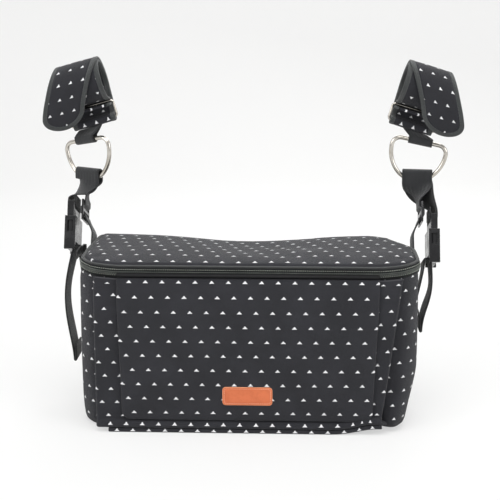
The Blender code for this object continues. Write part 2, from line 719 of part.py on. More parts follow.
def make_strap(label, spec):
    """Long strap: sewn on the bag's side, up through the slide adjuster, over the ring, down to the buckle."""
    side = spec["side"]
    along, down, facing, bar = ring_frame(spec)
    half_drop = RING_HEIGHT - RING_WIRE - RING_CORNER_R
    half = (RING_WIDTH - RING_WIRE) / 2
    reach = WEB_WIDTH / 2 + STRAP_SHIFT
    sink = RING_CORNER_R + half_drop * math.sqrt(1 - (reach / half) ** 2)
    fold = bar + down * sink + along * side * STRAP_SHIFT
    fold[2] -= STRAP_SLACK
    bag_sign = 1 if spec["bag_leg_is_front"] else -1
    plumb = np.array([0, 0, -1.0])
    bag_leg = fold + facing * bag_sign * RING_FOLD_R
    buckle_leg = fold - facing * bag_sign * RING_FOLD_R
    bag_top = bag_leg + plumb * STRAP_TOP_STRAIGHT
    buckle_top = buckle_leg + plumb * STRAP_TOP_STRAIGHT
    lean = unit((0, STRAP_SLOPE, 1))
    wall_x = side * (BODY_HALF_WIDTH + GAP + WEB_THICKNESS / 2)
    free_x = side * (BODY_HALF_WIDTH + STRAP_STAND_OFF + WEB_THICKNESS / 2)
    low_z = PATCH_TOP_Z - PATCH_LENGTH
    patch_low = np.array([wall_x, strap_line(low_z), low_z])
    patch_high = np.array([wall_x, PATCH_TOP_Y, PATCH_TOP_Z])
    clear_z = ZIP_Z - STRAP_UNDER_ZIP
    clear = np.array([free_x, strap_line(clear_z), clear_z])
    adjuster_z = spec["adjuster_z"]
    low_end = np.array([free_x, strap_line(adjuster_z - WEAVE_REACH), adjuster_z - WEAVE_REACH])
    high_end = np.array([free_x, strap_line(adjuster_z + WEAVE_REACH), adjuster_z + WEAVE_REACH])
    out, across, up, male_top = buckle_frame(spec)
    bar_mid = male_top - up * BUCKLE_BAR / 2
    bump = ADJUSTER_THICKNESS + 2 * GAP + WEB_THICKNESS
    over_bar = ADJUSTER_BAR / 2 + 0.001
    under_bars = ADJUSTER_HEIGHT / 2 - ADJUSTER_BAR - 0.0006
    middle = (low_end + high_end) / 2
    weave = []
    for point in np.linspace(low_end, high_end, 31):
        away = np.linalg.norm(point - middle)
        weave.append(point + out * bump * smoothstep((under_bars - away) / (under_bars - over_bar)))
    bag_path = join_paths(
        [patch_low, patch_high],
        bezier(patch_high, lean, clear, lean, 0.005, 7)[1:],
        [low_end],
        weave,
        bezier(high_end, lean, bag_top, -plumb, 0.006, 12)[1:],
        [bag_leg],
    )
    fold_arc = [fold + RING_FOLD_R * (math.cos(a) * facing * bag_sign - math.sin(a) * plumb)
                for a in np.radians(np.linspace(0, 180, 11))]
    over = out * BUCKLE_FOLD_R
    male_bend = wrap_bar(bar_mid, out, -up)
    stop = bar_mid - over + up * SEWN_RETURN * 0.5
    buckle_path = join_paths(
        [buckle_leg],
        bezier(buckle_top, plumb, bar_mid + over + up * 0.004, -lean, 0.010, 16),
        male_bend,
        [stop],
    )
    points = join_paths(bag_path, fold_arc, buckle_path)
    start = len(bag_path)
    end = start + len(fold_arc) - 1
    lean_angle = math.atan(STRAP_SLOPE)
    turns = []
    leans = []
    for index, point in enumerate(points):
        if index < start - 1:
            share = smoothstep((point[2] - high_end[2]) / (bag_top[2] - high_end[2]))
        elif index >= len(points) - len(male_bend) - 1:
            share = 0.0
        elif index >= end:
            foot_z = bar_mid[2] + 0.004
            share = smoothstep((point[2] - foot_z) / (buckle_top[2] - foot_z))
        else:
            share = 1.0
        turns.append(math.pi / 2 + (spec["turn"] - math.pi / 2) * share)
        leans.append(lean_angle * (1 - share))
    add_object(f"strap_{label}", *ribbon(points, turned(turns, leans), WEB_WIDTH, WEB_THICKNESS), WEBBING)
    return np.array([free_x, strap_line(adjuster_z), adjuster_z]), out, lean


def frame_matrix(x_way, y_way, z_way, origin):
    """A placing matrix; the x way is turned round where the three would make a mirror."""
    if np.dot(np.cross(x_way, y_way), z_way) < 0:
        x_way = -x_way
    matrix = Matrix.Identity(4)
    for column, way in enumerate((x_way, y_way, z_way)):
        for row in range(3):
            matrix[row][column] = float(way[row])
    for row in range(3):
        matrix[row][3] = float(origin[row])
    return matrix


def placed_box(name, low, high, matrix, colour, roughness=0.4):
    vertices, faces = box_mesh(low, high)
    spots = [matrix @ Vector(v) for v in vertices]
    return add_object(name, spots, faces, colour, roughness)


def make_adjuster(label, spot, out, lean):
    """Flat three-bar slide: the strap runs behind its end bars and over its middle bar."""
    across = np.cross(lean, out)
    plane = WEB_THICKNESS / 2 + GAP + ADJUSTER_THICKNESS / 2
    matrix = frame_matrix(across, out, lean, spot + out * plane)
    half_w = ADJUSTER_WIDTH / 2
    half_h = ADJUSTER_HEIGHT / 2
    half_t = ADJUSTER_THICKNESS / 2
    item = placed_box(f"slide_adjuster_{label}", (-half_w, -half_t, -half_h), (half_w, half_t, half_h),
                      matrix, PLASTIC)
    slot_half = half_w - ADJUSTER_RAIL
    bar_half = ADJUSTER_BAR / 2
    for k, (low, high) in enumerate(((bar_half, half_h - ADJUSTER_BAR), (ADJUSTER_BAR - half_h, -bar_half))):
        cut(item, (-slot_half, -0.01, low), (slot_half, 0.01, high), f"slot_{label}_{k}", matrix)


def make_buckle(label, spec):
    """Side-release buckle: the male half hangs on the long strap, the female half on the side webbing."""
    out, across, up, top = buckle_frame(spec)
    matrix = frame_matrix(across, out, up, top)
    half_w = BUCKLE_WIDTH / 2
    half_t = BUCKLE_THICKNESS / 2
    bar_t = BUCKLE_BAR_THICKNESS / 2
    slot_half = WEB_WIDTH / 2 + 0.0006
    relief_half = slot_half + 0.0005
    window_t = BUCKLE_THICKNESS / 2 - BUCKLE_WALL - 0.0008
    shoulder = -(BUCKLE_BAR + BUCKLE_SLOT + MALE_BASE)
    mouth = shoulder - GAP
    cavity_w = half_w - BUCKLE_WALL
    cavity_t = half_t - BUCKLE_WALL
    prong_t = cavity_t - GAP
    # the male half in profile: bar, slot, base, two prongs and a middle guide
    prong_out = cavity_w - GAP
    guide = 0.003
    tip = shoulder - PRONG_LENGTH
    outline = [
        (-half_w, 0), (-half_w, shoulder), (-prong_out, shoulder), (-prong_out, tip),
        (-prong_out + PRONG_WIDTH, tip), (-prong_out + PRONG_WIDTH, shoulder), (-guide, shoulder),
        (-guide, tip), (guide, tip), (guide, shoulder), (prong_out - PRONG_WIDTH, shoulder),
        (prong_out - PRONG_WIDTH, tip), (prong_out, tip), (prong_out, shoulder), (half_w, shoulder),
        (half_w, 0),
    ]
    rings = [[matrix @ Vector((x, y, z)) for x, z in outline] for y in (-prong_t, prong_t)]
    male = add_object(f"buckle_male_{label}", *loft(rings), PLASTIC, 0.35)
    cut(male, (-slot_half, -0.01, -BUCKLE_BAR - BUCKLE_SLOT), (slot_half, 0.01, -BUCKLE_BAR),
        f"male_slot_{label}", matrix)
    for k, sign in enumerate((-1, 1)):
        low, high = sorted((sign * bar_t, sign * 0.01))
        cut(male, (-relief_half, low, -BUCKLE_BAR - BUCKLE_SLOT / 2), (relief_half, high, 0.001),
            f"male_bar_{label}_{k}", matrix)
    foot = mouth - FEMALE_LENGTH
    female = placed_box(f"buckle_female_{label}", (-half_w, -half_t, foot), (half_w, half_t, mouth), matrix,
                        PLASTIC, 0.35)
    floor = tip - 0.001
    cut(female, (-cavity_w, -cavity_t, floor), (cavity_w, cavity_t, mouth + 0.005), f"cavity_{label}", matrix)
    window_top = mouth - 0.005
    cut(female, (-half_w - 0.01, -window_t, window_top - WINDOW_LENGTH),
        (half_w + 0.01, window_t, window_top), f"window_{label}", matrix)
    slot_low = foot + BUCKLE_BAR
    cut(female, (-slot_half, -0.01, slot_low), (slot_half, 0.01, slot_low + BUCKLE_SLOT),
        f"female_slot_{label}", matrix)
    for k, sign in enumerate((-1, 1)):
        low, high = sorted((sign * bar_t, sign * 0.01))
        cut(female, (-relief_half, low, foot - 0.001), (relief_half, high, slot_low + BUCKLE_SLOT / 2),
            f"female_bar_{label}_{k}", matrix)
    return top + up * foot


def make_side_webbing(label, spec, foot_point):
    """Short webbing sewn on the bag's side, up round the buckle's lower bar, with a hanging tail."""
    side = spec["side"]
    out, across, up, top = buckle_frame(spec)
    bar = foot_point + up * BUCKLE_BAR / 2
    wall_x = side * (BODY_HALF_WIDTH + GAP + WEB_THICKNESS / 2)
    low_z = SIDE_PATCH_TOP_Z - SIDE_PATCH_LENGTH
    patch_low = np.array([wall_x, strap_line(low_z), low_z])
    patch_high = np.array([wall_x, strap_line(SIDE_PATCH_TOP_Z), SIDE_PATCH_TOP_Z])
    bend = wrap_bar(bar, -out, up)
    tail_y = bar[1] - 0.010
    drop = np.array([side * (BUCKLE_X - 0.002), tail_y, spec["tail_end_z"]])
    fold_r = WEB_THICKNESS / 2 + GAP / 2
    hem = [drop - out * fold_r + fold_r * (math.cos(a) * out - math.sin(a) * np.array([0, 0, 1.0]))
           for a in np.radians(np.linspace(0, 180, 7))]
    hem_top = hem[-1] + np.array([0, 0, 0.016])
    points = join_paths(
        [patch_low],
        bezier(patch_high, up, bar - out * BUCKLE_FOLD_R, up, 0.012, 14),
        bend,
        bezier(bend[-1], -up, drop, (0, 0, -1), 0.030, 16),
        hem,
        [hem_top],
    )
    turns = [math.pi / 2] * len(points)
    lean_angle = math.atan(STRAP_SLOPE)
    bend_end = len(points) - len(hem) - 16
    leans = [lean_angle * (1 - smoothstep((k - bend_end) / 12)) for k in range(len(points))]
    add_object(f"side_webbing_{label}", *ribbon(points, turned(turns, leans), WEB_WIDTH, WEB_THICKNESS),
               WEBBING)


def main():
    clear_scene()
    make_body()
    make_zip()
    make_slider()
    make_lid()
    make_pocket()
    make_flap()
    for label, spec in SIDES.items():
        make_cuff(label, spec)
        make_ring(label, spec)
        make_tab(label, spec)
        spot, out, lean = make_strap(label, spec)
        make_adjuster(label, spot, out, lean)
        foot_point = make_buckle(label, spec)
        make_side_webbing(label, spec, foot_point)


main()
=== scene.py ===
# %% [markdown]
# # A hanging organiser bag
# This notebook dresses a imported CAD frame. The frame fixes where everything is, and every cell below
# makes one soft or detailed piece of the bag and lays it on the node that it stands for.

import math

import bmesh
import bpy
import numpy as np
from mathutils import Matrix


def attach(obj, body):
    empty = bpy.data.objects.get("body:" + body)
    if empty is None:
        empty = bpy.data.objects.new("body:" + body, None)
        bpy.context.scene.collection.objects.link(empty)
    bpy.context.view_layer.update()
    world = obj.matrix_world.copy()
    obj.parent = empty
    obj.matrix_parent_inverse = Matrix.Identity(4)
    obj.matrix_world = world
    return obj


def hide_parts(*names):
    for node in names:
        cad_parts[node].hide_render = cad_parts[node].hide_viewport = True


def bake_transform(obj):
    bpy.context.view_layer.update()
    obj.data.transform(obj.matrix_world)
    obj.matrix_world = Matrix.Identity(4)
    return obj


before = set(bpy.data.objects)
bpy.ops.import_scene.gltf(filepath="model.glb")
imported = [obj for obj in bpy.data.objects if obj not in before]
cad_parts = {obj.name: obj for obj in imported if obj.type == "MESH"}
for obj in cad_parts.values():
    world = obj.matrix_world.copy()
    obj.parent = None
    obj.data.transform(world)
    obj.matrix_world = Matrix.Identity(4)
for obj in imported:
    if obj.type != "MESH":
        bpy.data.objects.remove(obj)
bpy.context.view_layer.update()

# %% [markdown]
# The camera is placed first, because every later piece is judged through it. A long lens from a
# little above gives the mild perspective of a product picture. The floor and the paper behind are
# plain and pale, and they look white to the camera without putting more light on the bag.

# %% Camera
def add_object(name, data):
    """A new object in the scene's collection."""
    item = bpy.data.objects.new(name, data)
    bpy.context.collection.objects.link(item)
    return item


CAMERA_TURN = math.radians(2.1)
CAMERA_PITCH = math.radians(12.7)
CAMERA_REACH = 1.259
CAMERA_HEIGHT = 0.4575

camera_data = bpy.data.cameras.new("camera")
camera_data.lens = 90
camera_data.sensor_width = 36
camera = add_object("camera", camera_data)
camera.location = (CAMERA_REACH * math.sin(CAMERA_TURN), -CAMERA_REACH * math.cos(CAMERA_TURN), CAMERA_HEIGHT)
camera.rotation_euler = (math.pi / 2 - CAMERA_PITCH, 0, CAMERA_TURN)
bpy.context.scene.camera = camera
bpy.context.scene.view_settings.view_transform = "Standard"


# %% Node helpers
def new_material(name, colour=(0.5, 0.5, 0.5), roughness=0.7, metallic=0.0):
    """An empty material with one Principled shader, and its tree and shader."""
    made = bpy.data.materials.new(name)
    made.use_nodes = True
    tree = made.node_tree
    shader = tree.nodes["Principled BSDF"]
    fill(tree, shader, Base_Color=(*colour, 1), Roughness=roughness, Metallic=metallic)
    return made, tree, shader


def feed(tree, socket, value):
    """Joins an input to another node's output, or fills it with a value."""
    if isinstance(value, bpy.types.NodeSocket):
        tree.links.new(value, socket)
    else:
        socket.default_value = value


def node(tree, kind, **settings):
    """Adds a node, sets its properties, and feeds the sockets named by number as i0, i1 and so on."""
    made = tree.nodes.new(kind)
    for key, value in settings.items():
        if key[0] == "i" and key[1:].isdigit():
            feed(tree, made.inputs[int(key[1:])], value)
        else:
            setattr(made, key, value)
    return made


def fill(tree, made, **sockets):
    """Feeds a node's sockets by name; an underscore in a name stands for a space."""
    for key, value in sockets.items():
        feed(tree, made.inputs[key.replace("_", " ")], value)


def maths(tree, operation, a, b=0.0, c=None):
    """One Math node's result."""
    extra = {} if c is None else {"i2": c}
    return node(tree, "ShaderNodeMath", operation=operation, i0=a, i1=b, **extra).outputs[0]


def ramp(tree, value, low, high, out_low=0.0, out_high=1.0):
    """A smooth step of value from low to high."""
    made = node(tree, "ShaderNodeMapRange", interpolation_type="SMOOTHSTEP", i0=value, i1=low, i2=high,
                i3=out_low, i4=out_high)
    return made.outputs[0]


def blend_colours(tree, factor, a, b):
    """Colour a where factor is 0 and b where it is 1."""
    a, b = ((*colour, 1) if isinstance(colour, tuple) else colour for colour in (a, b))
    return node(tree, "ShaderNodeMix", data_type="RGBA", i0=factor, i6=a, i7=b).outputs[2]


def noise(tree, vector, scale, detail=3.0, roughness=0.55):
    """Fractal noise between 0 and 1."""
    made = node(tree, "ShaderNodeTexNoise", i0=vector)
    fill(tree, made, Scale=scale, Detail=detail, Roughness=roughness)
    return made.outputs[0]


def bump(tree, height, distance, strength=1.0, under=None):
    """A normal bent by a height, over another normal if one is given."""
    made = node(tree, "ShaderNodeBump")
    fill(tree, made, Strength=strength, Distance=distance, Height=height)
    if under is not None:
        fill(tree, made, Normal=under)
    return made.outputs[0]


def object_place(tree):
    """A point's place on the object, in metres."""
    return node(tree, "ShaderNodeTexCoord").outputs["Object"]


def cloth_place(tree):
    """A point's place on the cloth, in metres, from the piece's own map."""
    return node(tree, "ShaderNodeUVMap", uv_map="cloth").outputs[0]


# %% Floor, paper and lamps
def make_stage():
    """A floor that rises behind as one curved sheet, so no line shows at the back."""
    along = np.linspace(-4, 4, 3)
    turn = np.linspace(0, math.pi / 2, 12)
    way = np.concatenate([[-3.0], 1.4 + 0.6 * np.sin(turn), [2.0]])
    rise = np.concatenate([[0.0], 0.6 - 0.6 * np.cos(turn), [3.0]])
    x, y = np.meshgrid(along, way)
    z = np.repeat(rise[:, None], 3, axis=1)
    vertices = np.stack([x, y, z], -1).reshape(-1, 3)
    start = (np.arange(len(way) - 1)[:, None] * 3 + np.arange(2)).ravel()
    faces = np.stack([start, start + 1, start + 4, start + 3], -1)
    mesh = bpy.data.meshes.new("paper_floor")
    mesh.from_pydata(vertices.tolist(), [], faces.tolist())
    mesh.shade_smooth()
    made, tree, shader = new_material("pale_paper", (0.80, 0.80, 0.79), 0.9)
    light_path = node(tree, "ShaderNodeLightPath")
    seen = maths(tree, "MAXIMUM", light_path.outputs["Is Camera Ray"], light_path.outputs["Is Glossy Ray"])
    glow = node(tree, "ShaderNodeEmission", i0=(1, 1, 1, 1), i1=1.0)
    dim = node(tree, "ShaderNodeMixShader", i0=maths(tree, "MULTIPLY", seen, 0.55), i1=shader.outputs[0],
               i2=glow.outputs[0])
    tree.links.new(dim.outputs[0], tree.nodes["Material Output"].inputs[0])
    mesh.materials.append(made)
    add_object("paper_floor", mesh)


def soft_lamp(name, place, aim, size, power):
    """A square lamp turned to aim."""
    data = bpy.data.lights.new(name, "AREA")
    data.size = size
    data.energy = power
    lamp = add_object(name, data)
    lamp.location = place
    way = np.asarray(aim, float) - np.asarray(place, float)
    lamp.rotation_euler = (math.atan2(math.hypot(way[0], way[1]), -way[2]), 0, math.atan2(way[0], -way[1]) + math.pi)


make_stage()
world = bpy.data.worlds.new("studio")
world.use_nodes = True
world.node_tree.nodes["Background"].inputs[0].default_value = (1, 1, 1, 1)
world.node_tree.nodes["Background"].inputs[1].default_value = 0.62
bpy.context.scene.world = world
soft_lamp("lamp_above", (0.1, -0.5, 1.7), (0, 0, 0.15), 1.4, 17)
soft_lamp("lamp_left", (-1.5, -1.1, 0.9), (0, 0, 0.15), 0.9, 11)
soft_lamp("lamp_right", (1.5, -0.9, 0.8), (0, 0, 0.18), 0.9, 8)
soft_lamp("lamp_behind", (0.2, 1.3, 1.1), (0, 0.05, 0.2), 0.9, 8)


# %% Shape helpers
def put(item, body, slot, *nodes):
    """Hangs a piece on the body that it rides on and hides the CAD nodes that it stands for. The slot is not used."""
    if nodes:
        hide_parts(*nodes)
    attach(item, body)


def smooth(value):
    """Runs from 0 to 1 with level ends: 3t^2 - 2t^3 of the value held between 0 and 1."""
    t = np.clip(value, 0, 1)
    return t * t * (3 - 2 * t)


def unit(v):
    """Vectors of length one along the last axis."""
    v = np.asarray(v, float)
    return v / np.maximum(np.linalg.norm(v, axis=-1, keepdims=True), 1e-12)


def whole_turn(count):
    """Even angles round a circle."""
    return np.linspace(0, 2 * math.pi, count, endpoint=False)


def power(value, exponent):
    """A power that keeps the sign, which squares off an oval."""
    return np.sign(value) * np.abs(value) ** exponent


def cloth_map(across, along):
    """A grid's map from two coordinates that are spread over it."""
    return np.stack(np.broadcast_arrays(across, along), -1)


def spread(points, *parts):
    """One small shape at every point: each part is the shape's coordinates and the way that they lie in."""
    grid = points[:, None]
    for amounts, way in parts:
        grid = grid + amounts[None, :, None] * np.broadcast_to(way, points.shape)[:, None]
    return grid


def grid_faces(rows, columns, wrap):
    """Each face's row and column in a grid of points, and the numbers of its corners."""
    i, j = np.meshgrid(np.arange(rows - 1), np.arange(columns if wrap else columns - 1), indexing="ij")
    i, j = i.ravel(), j.ravel()
    k = (j + 1) % columns
    return i, j, np.stack([i * columns + j, i * columns + k, (i + 1) * columns + k, (i + 1) * columns + j], -1)


def surface(name, points, finish, uv=None, wrap=False, ends=(False, False), rows_finish=None):
    """A mesh over a grid of points.

    points[i, j] is the grid, wrap joins its last column to the first, and ends close the first and last rows
    with a fan to their mean.  uv has one more column than points where wrap is set.  rows_finish gives each
    row of faces its material number.
    """
    rows, columns = points.shape[:2]
    i, j, quads = grid_faces(rows, columns, wrap)
    vertices = points.reshape(-1, 3)
    corners = [quads.ravel()]
    sizes = [np.full(len(quads), 4)]
    numbers = [np.zeros(len(quads), int) if rows_finish is None else np.asarray(rows_finish)[i]]
    if uv is None:
        uv = np.zeros((rows, columns + 1, 2))
    uvs = [np.stack([uv[i, j], uv[i, j + 1], uv[i + 1, j + 1], uv[i + 1, j]], 1).reshape(-1, 2)]
    for end, row, turned in ((ends[0], 0, True), (ends[1], rows - 1, False)):
        if not end:
            continue
        ring = np.arange(columns) + row * columns
        nxt = np.roll(ring, -1)
        centre = np.full(columns, len(vertices))
        vertices = np.concatenate([vertices, points[row].mean(0)[None]])
        fan = np.stack([nxt, ring, centre] if turned else [ring, nxt, centre], -1)
        here, after = uv[row, :columns], uv[row, 1:columns + 1]
        middle = np.broadcast_to(uv[row].mean(0), here.shape)
        corners.append(fan.ravel())
        sizes.append(np.full(columns, 3))
        numbers.append(np.full(columns, numbers[0][0 if row == 0 else -1]))
        uvs.append(np.stack([after, here, middle] if turned else [here, after, middle], 1).reshape(-1, 2))
    corners = np.concatenate(corners)
    sizes = np.concatenate(sizes)
    mesh = bpy.data.meshes.new(name)
    mesh.vertices.add(len(vertices))
    mesh.vertices.foreach_set("co", vertices.astype(np.float32).ravel())
    mesh.loops.add(len(corners))
    mesh.loops.foreach_set("vertex_index", corners.astype(np.int32))
    mesh.polygons.add(len(sizes))
    mesh.polygons.foreach_set("loop_start", np.concatenate([[0], np.cumsum(sizes)[:-1]]).astype(np.int32))
    mesh.polygons.foreach_set("material_index", np.concatenate(numbers).astype(np.int32))
    mesh.uv_layers.new(name="cloth")
    mesh.update(calc_edges=True)
    mesh.uv_layers["cloth"].uv.foreach_set("vector", np.concatenate(uvs).astype(np.float32).ravel())
    mesh.validate()
    mesh.shade_smooth()
    item = add_object(name, mesh)
    for one in finish if isinstance(finish, (list, tuple)) else [finish]:
        mesh.materials.append(one)
    outward(item)
    return item


def outward(item):
    """Turns a closed mesh's faces out."""
    work = bmesh.new()
    work.from_mesh(item.data)
    if sum(face.calc_area() for face in work.faces) and work.calc_volume(signed=True) < 0:
        bmesh.ops.reverse_faces(work, faces=work.faces)
        work.to_mesh(item.data)
    work.free()


def sections(points, across, section, square=True):
    """Carries a section (w, n) along a path: the point plus w across and n along the surface's normal."""
    way = unit(np.gradient(points, axis=0))
    side = across - (across * way).sum(-1, keepdims=True) * way if square else across
    side = unit(side)
    up = unit(np.cross(way, side))
    return spread(points, (section[:, 0], side), (section[:, 1], up))


def webbing_section(width, thickness, count=9):
    """A flat band's section: two straight faces and two half round edges, going round once."""
    half = width / 2 - thickness / 2
    flat = np.linspace(-half, half, count)
    turn = np.linspace(-math.pi / 2, math.pi / 2, 5)[1:-1]
    r = thickness / 2
    w = np.concatenate([flat, half + r * np.cos(turn), flat[::-1], -half - r * np.cos(turn)])
    n = np.concatenate([np.full(count, -r), r * np.sin(turn), np.full(count, r), -r * np.sin(turn)])
    return np.stack([w, n], -1)


def lengths(path):
    """How far along the path each point is."""
    return np.concatenate([[0], np.cumsum(np.linalg.norm(np.diff(path, axis=0), axis=-1))])


def resample(path, step, *others):
    """The path and its companions at even steps of length."""
    at = lengths(path)
    even = np.linspace(0, at[-1], max(int(round(at[-1] / step)), 2) + 1)
    return [np.stack([np.interp(even, at, one[:, k]) for k in range(one.shape[1])], -1)
            for one in (path, *others)]


def ribbon(name, points, across, width, thickness, finish, square=True):
    """A webbing strap along a path, with its own cloth map: metres across and metres along."""
    section = webbing_section(width, thickness)
    grid = sections(points, across, section, square)
    run = lengths(points)
    around = np.concatenate([section[:, 0], section[:1, 0]])
    uv = cloth_map(around[None, :], run[:, None])
    return surface(name, grid, finish, uv, wrap=True, ends=(True, True))


def wire(name, points, plane, radius, finish, sides=16):
    """A round wire bent along a closed path in one plane."""
    way = unit(np.roll(points, -1, axis=0) - np.roll(points, 1, axis=0))
    side = unit(np.cross(plane, way))
    turn = whole_turn(sides)
    ring = spread(points, (radius * np.cos(turn), side), (radius * np.sin(turn), plane))
    ring = np.concatenate([ring, ring[:1]])
    item = surface(name, ring, finish, wrap=True)
    merge(item)
    return item


def merge(item):
    """Joins vertices that lie on each other."""
    work = bmesh.new()
    work.from_mesh(item.data)
    bmesh.ops.remove_doubles(work, verts=work.verts, dist=1e-6)
    bmesh.ops.recalc_face_normals(work, faces=work.faces)
    work.to_mesh(item.data)
    work.free()


def beads(name, points, rows, finish):
    """Many small closed blocks in one mesh: points[k] is block k's grid, rows rings one above another."""
    count, each = points.shape[:2]
    sides = each // rows
    block = grid_faces(rows, sides, True)[2]
    caps = np.stack([np.arange(sides)[::-1], (rows - 1) * sides + np.arange(sides)])
    many = each * np.arange(count)[:, None, None]
    mesh = bpy.data.meshes.new(name)
    mesh.from_pydata(points.reshape(-1, 3).tolist(), [],
                     (block[None] + many).reshape(-1, 4).tolist() + (caps[None] + many).reshape(-1, sides).tolist())
    mesh.shade_smooth()
    item = add_object(name, mesh)
    mesh.materials.append(finish)
    merge(item)
    return item


def stitches(name, path, up, finish, pitch=0.0032, long=0.0023, thick=0.00045):
    """A row of thread: one ellipsoid for each pitch of the path, long along it and half sunk in the cloth."""
    path, up = resample(path, pitch, up)
    middle = (path[1:] + path[:-1]) / 2
    way = unit(path[1:] - path[:-1])
    high = unit((up[1:] + up[:-1]) / 2)
    side = np.cross(high, way)
    turn = whole_turn(6)
    rise = np.linspace(-1, 1, 5)
    radius = np.sqrt(np.clip(1 - rise**2, 0.02, 1))
    a = np.broadcast_to(rise[:, None] * long / 2, (5, 6)).ravel()
    b = (radius[:, None] * np.cos(turn)).ravel() * thick
    c = (radius[:, None] * np.sin(turn)).ravel() * thick
    return beads(name, spread(middle, (a, way), (b, side), (c, high)), 5, finish)


# %% [markdown]
# The cloth is a dark polyester with a small pale triangle printed on it. The print is worked out by
# the shader from the cloth's own map in metres: rows 14.9 mm apart, 16.4 mm between neighbours,
# and each row moved on by a third. The weave is a fine crossed rib that only shows as a soft grain.

# %% Printed cloth
BAG_PRINT = dict(row=0.0149, pitch=0.0164, shift=0.0055, width=0.0056, height=0.0027)
POCKET_PRINT = dict(row=0.0139, pitch=0.0152, shift=0.0059, width=0.0053, height=0.0027)
CUFF_PRINT = dict(row=0.0140, pitch=0.0134, shift=0.0045, width=0.0042, height=0.0027)


def weave_height(tree, place, pitch):
    """Crossed threads: the larger of two sine ribs across and along the cloth."""
    split = node(tree, "ShaderNodeSeparateXYZ", i0=place)
    turns = 2 * math.pi / pitch
    across = maths(tree, "SINE", maths(tree, "MULTIPLY", split.outputs[0], turns))
    along = maths(tree, "SINE", maths(tree, "MULTIPLY", split.outputs[1], turns))
    return maths(tree, "MULTIPLY", across, along)


def printed_cloth(name, start_u, start_v, sizes=BAG_PRINT, dark=(0.0185, 0.0188, 0.0235)):
    """Dark cloth with rows of blunt pale triangles; start_u and start_v place the first one."""
    row_pitch, print_pitch = sizes["row"], sizes["pitch"]
    width, height = sizes["width"], sizes["height"]
    made, tree, shader = new_material(name, dark, 0.82)
    place = cloth_place(tree)
    split = node(tree, "ShaderNodeSeparateXYZ", i0=place)
    u, v = split.outputs[0], split.outputs[1]
    down = maths(tree, "DIVIDE", maths(tree, "SUBTRACT", start_v, v), row_pitch)
    row = maths(tree, "ROUND", down)
    local_v = maths(tree, "MULTIPLY", maths(tree, "SUBTRACT", row, down), row_pitch)
    step = maths(tree, "MULTIPLY", row, sizes["shift"])
    over = maths(tree, "DIVIDE", maths(tree, "SUBTRACT", maths(tree, "SUBTRACT", u, start_u), step), print_pitch)
    local_u = maths(tree, "MULTIPLY", maths(tree, "SUBTRACT", over, maths(tree, "ROUND", over)), print_pitch)
    rise = maths(tree, "DIVIDE", maths(tree, "ADD", local_v, height / 2), height)
    wobble = maths(tree, "MULTIPLY", maths(tree, "SUBTRACT", noise(tree, place, 900, 1), 0.5), 0.0008)
    taper = maths(tree, "POWER", maths(tree, "MAXIMUM", maths(tree, "SUBTRACT", 1.0, rise), 0.0), 1.35)
    half = maths(tree, "MULTIPLY_ADD", taper, width * 0.43, width * 0.07)
    inside = maths(tree, "SUBTRACT", maths(tree, "ADD", half, wobble), maths(tree, "ABSOLUTE", local_u))
    shown = maths(tree, "MULTIPLY", ramp(tree, inside, -0.0002, 0.0003),
                  maths(tree, "MULTIPLY", ramp(tree, rise, -0.04, 0.06), ramp(tree, rise, 1.05, 0.9)))
    threads = weave_height(tree, place, 0.00075)
    patchy = noise(tree, place, 26, 4)
    grain = noise(tree, place, 1500, 2)
    cloth = blend_colours(tree, ramp(tree, patchy, 0.3, 0.75), tuple(0.85 * c for c in dark),
                          tuple(1.25 * c for c in dark))
    cloth = blend_colours(tree, maths(tree, "MULTIPLY", ramp(tree, grain, 0.45, 0.8), 0.16), cloth,
                          (0.060, 0.062, 0.072))
    ink = blend_colours(tree, ramp(tree, grain, 0.35, 0.75), (0.92, 0.92, 0.93), (0.76, 0.76, 0.78))
    colour = blend_colours(tree, shown, cloth, ink)
    folds = bump(tree, noise(tree, place, 38, 3), 0.0016, 0.55)
    fill(tree, shader, Base_Color=colour, Normal=bump(tree, threads, 0.00016, 0.8, folds), Sheen_Weight=0.10,
         Sheen_Roughness=0.45, Specular_IOR_Level=0.35)
    return made


print_front = printed_cloth("print_front", -0.1173, 0.1559)
print_pocket = printed_cloth("print_pocket", -0.1393, 0.1559, POCKET_PRINT)
print_hem = printed_cloth("print_hem", -0.1226, 0.0093)
print_base = printed_cloth("print_base", -0.1160, 0.0026)
print_side = printed_cloth("print_side", -0.1105, 0.1610)
print_lid = printed_cloth("print_lid", -0.1410, -0.0464, BAG_PRINT, (0.0245, 0.0250, 0.0300))
print_cuff = printed_cloth("print_cuff", 0.0020, 0.0000, CUFF_PRINT)


